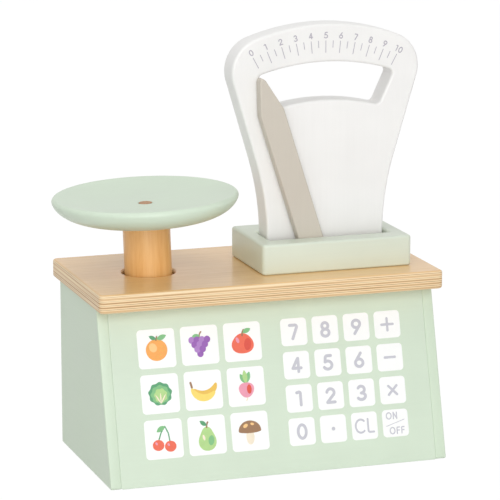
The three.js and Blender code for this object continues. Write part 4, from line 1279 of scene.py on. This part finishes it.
@dataclass
class KeyPads:
    """The two pads printed on the slanted front: picture keys at the left, number keys at the right.

    Places on the switch key are from its centre.
    """

    picture_key: float = 24.7 * MM
    picture_pitch: float = 28.55 * MM
    picture_left: float = -88.3 * MM
    picture_rows: int = 3
    number_key: float = 17.6 * MM
    number_pitch: float = 21.3 * MM
    number_left: float = 7.25 * MM
    number_rows: int = 4
    top_margin: float = 15.4 * MM
    corner: float = 2.5 * MM
    film: float = 0.06 * MM
    labels: tuple[str, ...] = (*"789+456-123x0.", "CL", "ON/OFF")
    on_place: tuple[float, float] = (-2.3 * MM, 4.9 * MM)
    off_place: tuple[float, float] = (0.8 * MM, -4.8 * MM)
    bar_ends: tuple[tuple[float, float], ...] = ((-6.3 * MM, -1.7 * MM), (6.2 * MM, 2.0 * MM))
    bar_width: float = 0.45 * MM

    @property
    def ink(self) -> float:
        """Height of what is printed on a key, over the panel."""
        return 2 * self.film

    def build(self) -> None:
        """Prints both pads on a plane that hangs down the front from its upper edge."""
        bottom_front, top_front, _ = Box.slant()
        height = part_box("front_panel")[1].z
        slope = math.atan2(top_front - bottom_front, height)
        plane = Plane((0, top_front, height), (1, 0, 0), (0, math.sin(slope), math.cos(slope)),
                      (0, -math.cos(slope), math.sin(slope)))
        self._pictures(plane)
        self._numbers(plane)

    def _keys(self, plane: Plane, left: float, size: float, pitch: float,
              count: int) -> tuple[list[Grid], Array]:
        """Square white prints in rows.

        Args:
            plane: the front.
            left: the pad's left edge.
            size: a key's width and height.
            pitch: from one key to the next.
            count: keys in a row, and rows.

        Returns:
            The keys' surfaces, and an array of their centres, row by row.
        """
        step = np.arange(count) * pitch
        half = size / 2
        x, y = np.meshgrid(left + half + step, -self.top_margin - half - step)
        centres = np.stack([x, y], -1).reshape(-1, 2)
        square = rectangle(-half, half, -half, half, self.corner)
        return [plate(plane, square + centre, self.film, -self.film, self.film / 2, steps=2)
                for centre in centres], centres

    def _numbers(self, plane: Plane) -> None:
        """The number pad, with its letters in grey.

        Args:
            plane: the front.
        """
        keys, centres = self._keys(plane, self.number_left, self.number_key, self.number_pitch,
                                   self.number_rows)
        add_piece("number_keys", keys, KEY_INK, Body.HOUSING)
        letters: list[Grid] = []
        for centre, label in zip(centres, self.labels):
            if "/" in label:
                letters += self._switch(plane, centre, *label.split("/"))
            else:
                style = KEY_WORDS.get(label, KEY_DIGITS if label.isdigit() else KEY_SIGNS)
                letters += style.write(label, plane, centre, self.ink)
        add_piece("key_letters", letters, LETTER_INK, Body.HOUSING)

    def _switch(self, plane: Plane, centre: Array, above: str, below: str) -> list[Grid]:
        """The switch key's two words with a slanted bar between them.

        Args:
            plane: the front.
            centre: the key's centre.
            above: the upper word.
            below: the lower word.

        Returns:
            The strokes' surfaces.
        """
        upper = SWITCH_WORDS.write(above, plane, centre + self.on_place, self.ink)
        lower = SWITCH_WORDS.write(below, plane, centre + self.off_place, self.ink)
        start, end = centre + np.array(self.bar_ends)
        path = np.linspace(start, end, STRAIGHT_POINTS)
        bar = ribbon(plane, path, self.bar_width, self.ink, -self.ink)
        return [*upper, *lower, bar]

    def _pictures(self, plane: Plane) -> None:
        """The picture pad, with one simple fruit or vegetable on each key.

        Args:
            plane: the front.
        """
        keys, centres = self._keys(plane, self.picture_left, self.picture_key, self.picture_pitch,
                                   self.picture_rows)
        add_piece("picture_keys", keys, KEY_INK, Body.HOUSING)
        prints = Produce(plane, self.ink)
        motifs = (prints.orange, prints.grapes, prints.apple, prints.lettuce, prints.banana, prints.radish,
                  prints.cherries, prints.pear, prints.mushroom)
        for motif, centre in zip(motifs, centres):
            prints.start(centre)
            motif()
        prints.finish()


class Paint(Enum):
    """Colours of the printed produce."""

    RED = "#ec6a50"
    DARK_RED = "#dc4f3e"
    PINK = "#ea9bb1"
    ORANGE = "#f5a955"
    LIGHT_ORANGE = "#f9ca88"
    YELLOW = "#f7da6e"
    DEEP_YELLOW = "#eabf52"
    GREEN = "#7fbd82"
    LIGHT_GREEN = "#b1d68b"
    DARK_GREEN = "#569e70"
    PURPLE = "#965eb2"
    LIGHT_PURPLE = "#ae80c6"
    BROWN = "#9a7453"
    CREAM = "#f3e6cf"


@dataclass
class Produce:
    """Simple fruit and vegetables as overlapping flat prints, each later colour a little higher.

    Motifs are drawn about their key's centre. One unit of a motif is a little over a millimetre.
    """

    plane: Plane
    ink: float
    layer: float = 0.02 * MM
    layers: int = 12
    unit: float = 1.14 * MM
    stalk_round: float = 3.0
    blob_sides: int = 72
    centre: Array = field(default_factory=lambda: np.zeros(2))
    prints: dict[Paint, list[Grid]] = field(default_factory=dict)
    count: int = 0

    def start(self, centre: Array) -> None:
        """Moves to the next key, and starts its layers again."""
        self.centre = centre
        self.count = 0

    def _on_key(self, points: Array) -> Array:
        """Points of a motif in its own units, as places on the plane."""
        return self.centre + np.asarray(points) * self.unit

    def _next_front(self) -> float:
        """The height of the next print, a layer above the last."""
        self.count += 1
        return self.ink + self.layer * (self.count % self.layers)

    def _add(self, paint: Paint, outline: Array, spine: Array | None = None) -> None:
        """Lays one closed outline on what was printed before it.

        Args:
            paint: its colour.
            outline: (n, 2) counter-clockwise points.
            spine: points inside a long or bent outline, point for point with it.
        """
        middle = None if spine is None else self._on_key(spine)
        grid = plate(self.plane, self._on_key(outline), self._next_front(), -self.ink, self.layer / 2,
                     steps=1, spine=middle)
        self.prints.setdefault(paint, []).append(grid)

    def _blob(self, paint: Paint, centre: Sequence[float], radii: Sequence[float],
              lobes: Sequence[tuple[int, float, float]] = (), turn: float = 0.0) -> None:
        """A round shape: an ellipse whose radius swells by a cosine for each lobe.

        Args:
            paint: its colour.
            centre: its centre.
            radii: the ellipse's half width and half height.
            lobes: how often each cosine comes round, its share of the radius, and its first peak's bearing.
            turn: turn of the whole shape in degrees.
        """
        bearing = np.linspace(0, 2 * math.pi, self.blob_sides, endpoint=False)
        swell = 1 + sum((share * np.cos(n * (bearing - math.radians(phase))) for n, share, phase in lobes),
                        np.zeros_like(bearing))
        shape = np.stack([np.cos(bearing), np.sin(bearing)], -1) * radii * swell[:, None]
        self._add(paint, np.asarray(centre) + shape @ turning(math.radians(turn)))

    def _leaf(self, paint: Paint, base: Sequence[float], length: float, width: float, turn: float,
              bend: float = 0.0) -> None:
        """A leaf: half its width times sin(pi t) to the power of 0.8, about a midrib that bends as t squared.

        Args:
            paint: its colour.
            base: where it starts.
            length: length along the midrib.
            width: greatest width.
            turn: bearing of the leaf in degrees.
            bend: how far the tip lies off the straight.
        """
        t = np.linspace(0, 1, 25)
        rib = np.stack([t * length, bend * t ** 2], -1)
        edge = np.stack([np.zeros_like(t), width / 2 * np.sin(math.pi * t) ** 0.8], -1)
        outline = np.vstack([rib - edge, (rib + edge)[::-1][1:-1]])
        spine = np.vstack([rib, rib[::-1][1:-1]])
        spin = turning(math.radians(turn))
        self._add(paint, np.asarray(base) + outline @ spin, np.asarray(base) + spine @ spin)

    def _stalk(self, paint: Paint, points: Sequence[Sequence[float]], width: float) -> None:
        """A stalk: a stroke along a line with rounded bends.

        Args:
            paint: its colour.
            points: the line's corners.
            width: the stroke's width.
        """
        path = self._on_key(filleted(points, self.stalk_round, closed=False))
        stroke = ribbon(self.plane, path, width * self.unit, self._next_front(), -self.ink)
        self.prints.setdefault(paint, []).append(stroke)

    def orange(self) -> None:
        """An orange with two leaves."""
        self._blob(Paint.ORANGE, (0, -0.8), (6.2, 6.0))
        self._blob(Paint.LIGHT_ORANGE, (-2.0, 0.6), (2.2, 2.6), turn=25)
        for x, y in ((2.2, -3.6), (3.6, -1.4), (0.4, -4.6), (1.8, -1.2), (3.2, 1.0)):
            self._blob(Paint.DEEP_YELLOW, (x, y), (0.3, 0.3))
        self._stalk(Paint.BROWN, [(0, 4.6), (0.2, 5.6), (0.6, 6.6)], 0.8)
        self._leaf(Paint.GREEN, (0.3, 5.2), 6.0, 2.8, 12, 0.6)
        self._leaf(Paint.DARK_GREEN, (0.1, 5.2), 4.4, 2.2, 160, -0.4)

    def grapes(self) -> None:
        """A bunch of grapes: rows of berries that narrow downwards."""
        self._stalk(Paint.BROWN, [(0, 4.2), (0.2, 6.0), (1.2, 7.4)], 0.8)
        self._leaf(Paint.GREEN, (0.2, 5.6), 5.4, 3.4, 200, 0.5)
        for row, (count, y) in enumerate(((4, 3.0), (3, 0.4), (2, -2.2), (1, -4.8))):
            for i in range(count):
                x = (i - (count - 1) / 2) * 3.0
                self._blob(Paint.PURPLE if (i + row) % 2 else Paint.LIGHT_PURPLE, (x, y), (1.85, 1.9))

    def apple(self) -> None:
        """A red apple with a dimple, a stalk and one leaf."""
        self._blob(Paint.RED, (0, -1.0), (6.2, 5.8), ((2, 0.03, 0), (1, -0.04, 90), (3, 0.05, 210)))
        self._blob(Paint.DARK_RED, (2.9, -1.6), (2.1, 3.4), turn=-8)
        self._blob(Paint.PINK, (-2.9, 1.0), (0.9, 1.7), turn=20)
        self._stalk(Paint.BROWN, [(0, 3.4), (0.2, 5.2), (1.0, 6.6)], 0.9)
        self._leaf(Paint.GREEN, (0.4, 4.8), 5.2, 2.6, 30, -0.4)

    def lettuce(self) -> None:
        """A head of lettuce: ruffled leaves one inside the other."""
        self._blob(Paint.DARK_GREEN, (0, 0), (6.6, 6.3), ((9, 0.05, 10),))
        self._blob(Paint.GREEN, (0, -0.4), (5.3, 5.1), ((8, 0.06, 0),))
        self._blob(Paint.LIGHT_GREEN, (0.2, -0.9), (3.7, 3.8), ((7, 0.07, 20),))
        for turn in (60, 90, 120):
            self._leaf(Paint.CREAM, (0.1, -5.4), 6.0, 0.8, turn)

    def banana(self) -> None:
        """A pair of bananas: arcs of half width 1.75 times sin(pi t) to the power of 0.55, plus 0.25."""
        for paint, turn, lift in ((Paint.DEEP_YELLOW, 14.0, 1.4), (Paint.YELLOW, -8.0, -0.6)):
            bearing = np.radians(np.linspace(200, 335, 40)) + math.radians(turn)
            share = np.linspace(0, 1, 40)
            half = 1.75 * np.sin(math.pi * share) ** 0.55 + 0.25
            middle = np.stack([np.cos(bearing), np.sin(bearing)], -1) * 7.2 + [0.4, 3.6 + lift]
            spoke = np.stack([np.cos(bearing), np.sin(bearing)], -1) * half[:, None]
            outline = np.vstack([middle + spoke, (middle - spoke)[::-1]])
            self._add(paint, outline, np.vstack([middle, middle[::-1]]))
        self._stalk(Paint.BROWN, [(-6.6, 2.0), (-6.9, 3.4), (-7.2, 4.6)], 1.2)

    def radish(self) -> None:
        """A pink radish with a cream root and three leaves."""
        for turn, length in ((70, 7.0), (120, 6.4), (95, 7.6)):
            self._leaf(Paint.GREEN if turn != 95 else Paint.LIGHT_GREEN, (0, 1.6), length, 2.8, turn)
        self._stalk(Paint.CREAM, [(0, -5.2), (0.3, -6.6), (-0.4, -7.8)], 0.7)
        self._blob(Paint.PINK, (0, -1.8), (4.4, 4.2), ((3, 0.05, 270),))
        self._blob(Paint.DARK_RED, (1.6, -1.6), (1.4, 2.6))

    def cherries(self) -> None:
        """Two cherries on joined stalks."""
        top = (1.0, 7.0)
        self._stalk(Paint.DARK_GREEN, [(-3.2, -1.0), (-1.4, 3.6), top], 0.7)
        self._stalk(Paint.DARK_GREEN, [(3.4, -2.0), (2.8, 3.0), top], 0.7)
        self._leaf(Paint.GREEN, top, 5.6, 2.7, 205, 0.5)
        for x, y in ((-3.4, -3.2), (3.5, -4.2)):
            self._blob(Paint.RED, (x, y), (3.2, 3.1), ((2, 0.03, 0),))
            self._blob(Paint.PINK, (x - 1.1, y + 1.0), (0.6, 0.9), turn=30)

    def pear(self) -> None:
        """A green pear: a round shape drawn out at the top."""
        self._blob(Paint.LIGHT_GREEN, (0, -1.4), (5.2, 6.2), ((2, 0.08, 90), (1, -0.16, 90), (3, 0.07, 90)))
        self._blob(Paint.GREEN, (2.2, -3.0), (1.7, 2.8), turn=-10)
        self._blob(Paint.CREAM, (-2.0, -1.2), (0.7, 1.6), turn=12)
        self._stalk(Paint.BROWN, [(0, 4.4), (0.1, 5.8), (0.8, 7.2)], 0.9)
        self._leaf(Paint.DARK_GREEN, (0.2, 5.4), 4.8, 2.3, 150, -0.4)

    def mushroom(self) -> None:
        """A mushroom: a domed cap over a stout stem."""
        self._blob(Paint.CREAM, (0, -3.0), (2.5, 4.2), ((2, 0.05, 90),))
        dome = arc((0, 0.2), (6.6, 5.8), 0, 180, 40)
        brim = arc((0, 0.2), (6.6, 1.2), 180, 360, 30)
        self._add(Paint.BROWN, np.vstack([dome, brim[1:-1]]))
        self._blob(Paint.LIGHT_ORANGE, (-2.4, 3.2), (1.5, 1.0), turn=30)
        self._blob(Paint.LIGHT_ORANGE, (1.6, 4.0), (1.1, 0.7), turn=-15)

    def finish(self) -> None:
        """Makes one piece of each colour's prints."""
        for paint, grids in self.prints.items():
            name = paint.name.lower()
            ink = ScreenInk(f"{name}_screen_ink", paint.value, PRODUCE_UNEVENNESS)
            add_piece(f"produce_{name}", grids, ink, Body.HOUSING)


# Pointer, post, pan and spring


@dataclass
class Pointer:
    """The painted pointer, a tapered blade with rounded edges that leans on its axle."""

    lean: float = math.radians(17.7)
    width: float = 16.5 * MM
    length: float = 154 * MM
    taper: float = 24.5 * MM
    tip_half: float = 2.2 * MM
    shoulder_round: float = 4 * MM
    edge: float = 1.0 * MM

    def build(self) -> None:
        """Makes the blade in its rest place."""
        low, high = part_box("pointer")
        axle_low, axle_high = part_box("pointer_axle")
        axle = (axle_low + axle_high) / 2
        outline = self.outline()
        middle = np.clip(outline[:, 1], 0, self.length - self.taper / 2)
        spine = np.stack([np.zeros(len(outline)), middle], -1)
        c, s = math.cos(self.lean), math.sin(self.lean)
        plane = Plane((axle.x, low.y, axle.z), (c, 0, s), (-s, 0, c))
        blade = plate(plane, outline, 0, low.y - high.y, self.edge, spine=spine)
        add_piece("pointer_painted", [blade], BEIGE_PAINT, Body.POINTER, ["pointer"])

    def outline(self) -> Array:
        """The blade standing up: straight sides, a taper, a tip on a quadratic curve and a half round foot.

        Returns:
            The outline's points, counter-clockwise from the tip's right end.
        """
        half, shoulder = self.width / 2, self.length - self.taper
        tip = self.length - self.tip_half * self.taper / half / 2
        pull = (0, self.length + self.tip_half / 2)
        crown = quadratic((self.tip_half, tip), pull, (-self.tip_half, tip), steps=12)
        left = filleted([crown[-1], (-half, shoulder), (-half, 0)], self.shoulder_round, closed=False)
        foot = arc((0, 0), half, 180, 360, steps=24)
        return np.vstack([crown[:-1], left[:-1], foot[:-1], (left * [-1, 1])[::-1][:-1]])


@dataclass
class WeighingPan:
    """The turned pan with its plug, on its post, leaning together a little to the left.

    Heights are along the leaning axis, from the top.
    """

    lean: float = math.radians(2.1)
    post_x: float = -66.3 * MM
    post_radius: float = 15.3 * MM
    post_bottom: float = -17.6 * MM
    post_edge: float = 0.8 * MM
    post_sides: int = 96
    pan_bottom: float = 35.5 * MM
    pan_height: float = 15.5 * MM
    pan_sides: int = 160
    flank_steps: int = 24
    dish_steps: int = 39
    flank: float = 22 * MM
    flank_flatness: float = 0.2
    rim_round: float = 2.6 * MM
    dish_depth: float = 5.8 * MM
    flat_share: float = 0.9
    hole_lip: float = 0.5 * MM
    lip_facet: tuple[float, float] = (0.15 * MM, 0.1 * MM)
    lip_drop: float = 0.4 * MM
    plug_radius: float = 4.25 * MM
    plug_gap: float = 0.3 * MM
    plug_height: float = 3 * MM
    plug_stand: float = 0.25 * MM
    plug_edge: float = 0.35 * MM
    plug_sides: int = 48

    def foot(self) -> Vector:
        """The post's axis on the top."""
        low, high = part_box("pan")
        return Vector((self.post_x, (low.y + high.y) / 2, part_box("top_board")[1].z))

    def build(self) -> None:
        """Makes the pan, its plug and the post about the leaning axis."""
        foot = np.array(self.foot())
        axis = np.array([-math.sin(self.lean), 0, math.cos(self.lean)])
        low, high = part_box("pan")
        pan = turned(self.pan_profile((high.y - low.y) / 2), foot, axis, self.pan_sides)
        add_piece("pan_painted", [pan], MINT_ACROSS, Body.PAN, ["pan"])
        dish = self.pan_bottom + self.pan_height - self.dish_depth
        plug_profile = self.rod_profile(self.plug_radius, dish - self.plug_height, dish + self.plug_stand,
                                        self.plug_edge)
        plug = turned(plug_profile, foot, axis, self.plug_sides)
        add_piece("pan_plug_turned", [plug], PLUG_WOOD, Body.PAN, ["pan_plug"])
        post_profile = self.rod_profile(self.post_radius, self.post_bottom, self.pan_bottom, self.post_edge)
        post = turned(post_profile, foot, axis, self.post_sides)
        add_piece("post_turned", [post], PINE, Body.PAN, ["post"])

    @staticmethod
    def rod_profile(radius: float, bottom: float, top: float, edge: float) -> Array:
        """A rod's profile: from the axis out, up its wall and back, with both edges on quarter rounds.

        Args:
            radius: the rod's radius.
            bottom: height of its lower end.
            top: height of its upper end.
            edge: radius of its rounded edges.

        Returns:
            An array of (radius, height) from the bottom to the top.
        """
        turn = np.linspace(0, math.pi / 2, EDGE_STEPS + 1)
        out = radius - edge + edge * np.sin(turn)
        rise = edge * (1 - np.cos(turn))
        lower = np.stack([out, bottom + rise], -1)
        upper = np.stack([out, top - rise], -1)[::-1]
        inner = radius - ROD_SUPPORT * edge
        return np.vstack([[0, bottom], [inner, bottom], lower, upper, [inner, top], [0, top]])

    def pan_profile(self, radius: float) -> Array:
        """The pan's profile: flat underside, elliptic flank, round rim, parabolic dish and the plug's hole.

        The flank lies a share of the way from its ellipse to the straight line between its ends.

        Args:
            radius: the pan's radius.

        Returns:
            An array of (radius, height) from the underside to the bottom of the hole.
        """
        rim_top = self.pan_bottom + self.pan_height
        rim_x, rim_y = radius - self.rim_round, rim_top - self.rim_round
        flat = radius - self.flank
        dish = rim_top - self.dish_depth
        turn = np.linspace(0, math.pi / 2, self.flank_steps + 1)
        cosine, sine = np.cos(turn), np.sin(turn)
        rounded = np.stack([flat + self.flank * sine, rim_y - (rim_y - self.pan_bottom) * cosine], -1)
        straight = np.linspace(rounded[0], rounded[-1], len(turn))
        flank = rounded + (straight - rounded) * self.flank_flatness
        crown = np.stack([rim_x + self.rim_round * cosine, rim_y + self.rim_round * sine], -1)[1:]
        hole = self.plug_radius + self.plug_gap
        share = np.linspace(1, (hole + self.hole_lip) / rim_x, self.dish_steps + 1)[1:]
        bowl = np.stack([rim_x * share, dish + self.dish_depth * share ** 2], -1)
        lip = bowl[-1, 1]
        floor = dish - self.plug_height
        facet_out, facet_down = self.lip_facet
        well = np.array([[hole + facet_out, lip - facet_down], [hole, lip - self.lip_drop], [hole, floor],
                         [0, floor]])
        underside = np.array([[0, self.pan_bottom], [self.flat_share * flat, self.pan_bottom]])
        return np.vstack([underside, flank, crown, bowl, well])


@dataclass
class ReturnSpring:
    """The wound spring under the drive bar's pad, which shortens as the pan goes down."""

    wire: float = 1.4 * MM
    turns: int = 7
    end_pitch: float = 1.6 * MM
    steps: int = 28
    sides: int = 10
    joint: str = "pan_slide"

    def build(self) -> None:
        """Winds the wire upright, with a close turn at each end."""
        low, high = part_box("return_spring")
        bottom = np.array([(low.x + high.x) / 2, (low.y + high.y) / 2, low.z])
        length = high.z - low.z
        wound = self.winding((high.x - low.x - self.wire) / 2, length - self.wire)
        spring = Grid(bottom + [0, 0, self.wire / 2] + wound)
        piece = add_piece("return_spring_wound", [spring], BRIGHT_STEEL, Body.HOUSING, ["return_spring"])
        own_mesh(piece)

    def winding(self, radius: float, rise: float) -> Array:
        """A helix swept by the wire's circle, drawn in the plane through the axis; the ends close on a point.

        Args:
            radius: the coil's radius at the middle of the wire.
            rise: height from the first turn's middle to the last one's.

        Returns:
            An array of (sides, points along the wire, 3) places about the axis.
        """
        done = np.pad(np.linspace(0, self.turns, self.turns * self.steps + 1), 1, mode="edge")
        girth = np.full(len(done), self.wire / 2)
        girth[[0, -1]] = 0
        height = np.interp(done, [0, 1, self.turns - 1, self.turns],
                           [0, self.end_pitch, rise - self.end_pitch, rise])
        bearing = 2 * math.pi * done
        roll = np.linspace(0, 2 * math.pi, self.sides, endpoint=False)[:, None]
        reach = radius + girth * np.cos(roll)
        return np.stack([reach * np.cos(bearing), reach * np.sin(bearing), height + girth * np.sin(roll)], -1)


# Studio


@dataclass(frozen=True)
class Lamp:
    """A square soft lamp: its place and size in metres, and its power in watts."""

    name: str
    place: tuple[float, float, float]
    size: float
    power: float


@dataclass
class Studio:
    """A white sweep of floor, soft lamps and the camera at the photograph's view, all in metres and degrees.

    The floor and the sky are white to the eye, and dimmer in the light that they give.
    """

    target: tuple[float, float, float] = (2.524 * MM, 12.25 * MM, 131.4 * MM)
    azimuth: float = -18.595
    elevation: float = 12.227
    distance: float = 1874.66 * MM
    lens: float = 207.55
    sensor: float = 36.0
    clip: tuple[float, float] = (0.01, 50.0)
    lamps: tuple[Lamp, ...] = (Lamp("key_lamp", (-0.5, -2.1, 0.75), 1.6, 27.5),
                               Lamp("top_lamp", (-0.3, 0.3, 2.0), 1.6, 9.0))
    floor_half: float = 3.0
    floor_corner: float = 0.2
    floor_top: float = -0.001
    floor_bottom: float = -0.02
    floor_edge: float = 0.002
    floor_greys: tuple[str, str] = ("#d8d8d8", "#dcdcdc")
    floor_haze: float = 0.5
    floor_glow: float = 1.04
    glow_share: float = 0.95
    sky_light: float = 0.52
    sky_seen: float = 1.0

    def build(self) -> None:
        """Makes the camera, the floor, the lamps and the world."""
        self._camera()
        self._floor()
        for lamp in self.lamps:
            self._light(lamp)
        self._world()
        bpy.context.scene.view_settings.view_transform = "Standard"

    def _camera(self) -> None:
        """The camera looks at the target from its azimuth, elevation and distance."""
        a, e = math.radians(self.azimuth), math.radians(self.elevation)
        back = Vector((math.sin(a) * math.cos(e), -math.cos(a) * math.cos(e), math.sin(e)))
        data = bpy.data.cameras.new("camera")
        data.lens, data.sensor_width = self.lens, self.sensor
        data.clip_start, data.clip_end = self.clip
        camera = bpy.data.objects.new("camera", data)
        camera.location = Vector(self.target) + back * self.distance
        camera.rotation_euler = (-back).to_track_quat("-Z", "Y").to_euler()
        bpy.context.scene.collection.objects.link(camera)
        bpy.context.scene.camera = camera

    def _light(self, lamp: Lamp) -> None:
        """Puts up a lamp that faces the object.

        Args:
            lamp: the lamp.
        """
        data = bpy.data.lights.new(lamp.name, "AREA")
        data.shape, data.size, data.energy = "SQUARE", lamp.size, lamp.power
        light = bpy.data.objects.new(lamp.name, data)
        light.location = lamp.place
        light.rotation_euler = (Vector(self.target) - Vector(lamp.place)).to_track_quat("-Z", "Y").to_euler()
        bpy.context.scene.collection.objects.link(light)

    @staticmethod
    def _seen(tree: bpy.types.NodeTree) -> Socket:
        """Tells the rays that show the background from those that light the object.

        Args:
            tree: the floor's or the world's tree.

        Returns:
            A socket that is 1 for camera, glossy and transmission rays, and else 0.
        """
        ray = add_node(tree, "LightPath").node.outputs
        direct = add_node(tree, "Math", (ray["Is Camera Ray"], ray["Is Glossy Ray"]), operation="MAXIMUM")
        return add_node(tree, "Math", (direct, ray["Is Transmission Ray"]), operation="MAXIMUM")

    def _floor(self) -> None:
        """The floor: white to the eye, with a share of its own shading, so that it keeps a soft shadow."""
        half = self.floor_half
        corners = rectangle(-half, half, -half, half, self.floor_corner)
        slab = plate(level_at(0), corners, self.floor_top, self.floor_bottom, self.floor_edge)
        floor = make_object("floor", [slab])
        made, tree, place = new_material("white_studio_floor")
        haze = sized_pattern(tree, place, self.floor_haze, 1)
        dark, light = (linear(grey) for grey in self.floor_greys)
        colour = add_node(tree, "Mix", {0: haze, 6: dark, 7: light}, 2, **COLOUR_MIX)
        shade = add_node(tree, "BsdfDiffuse", {"Color": colour})
        glow = add_node(tree, "Emission", {"Color": (1, 1, 1, 1), "Strength": self.floor_glow})
        share = add_node(tree, "Math", (self._seen(tree), self.glow_share), operation="MULTIPLY")
        both = add_node(tree, "MixShader", (share, shade, glow))
        add_node(tree, "OutputMaterial", {"Surface": both})
        floor.data.materials.append(made)

    def _world(self) -> None:
        """A white background, with a dimmer sky for the light that it gives."""
        world = bpy.data.worlds.new("white_studio")
        bpy.context.scene.world = world
        world.use_nodes = True
        tree = world.node_tree
        tree.nodes.clear()
        strength = add_node(tree, "MapRange", (self._seen(tree), 0, 1, self.sky_light, self.sky_seen))
        sky = add_node(tree, "Background", {"Color": (1, 1, 1, 1), "Strength": strength})
        add_node(tree, "OutputWorld", {"Surface": sky})


def dress_nodes() -> None:
    """Gives every node the finish of its record slot."""
    for row in frame["record"]["subparts"]:
        dress(frame["nodes"][row["node"]], SLOT_FINISHES[row["material_slot"]])


def main() -> None:
    """Builds the scale's sub-assemblies in order, then the studio."""
    logging.basicConfig(level=logging.INFO, format="%(name)s: %(message)s")
    dress_nodes()
    pan = WeighingPan()
    Box().build()
    Top().build(pan.foot())
    Dial().build()
    KeyPads().build()
    Pointer().build()
    pan.build()
    ReturnSpring().build()
    Studio().build()


if __name__ == "__main__":
    main()
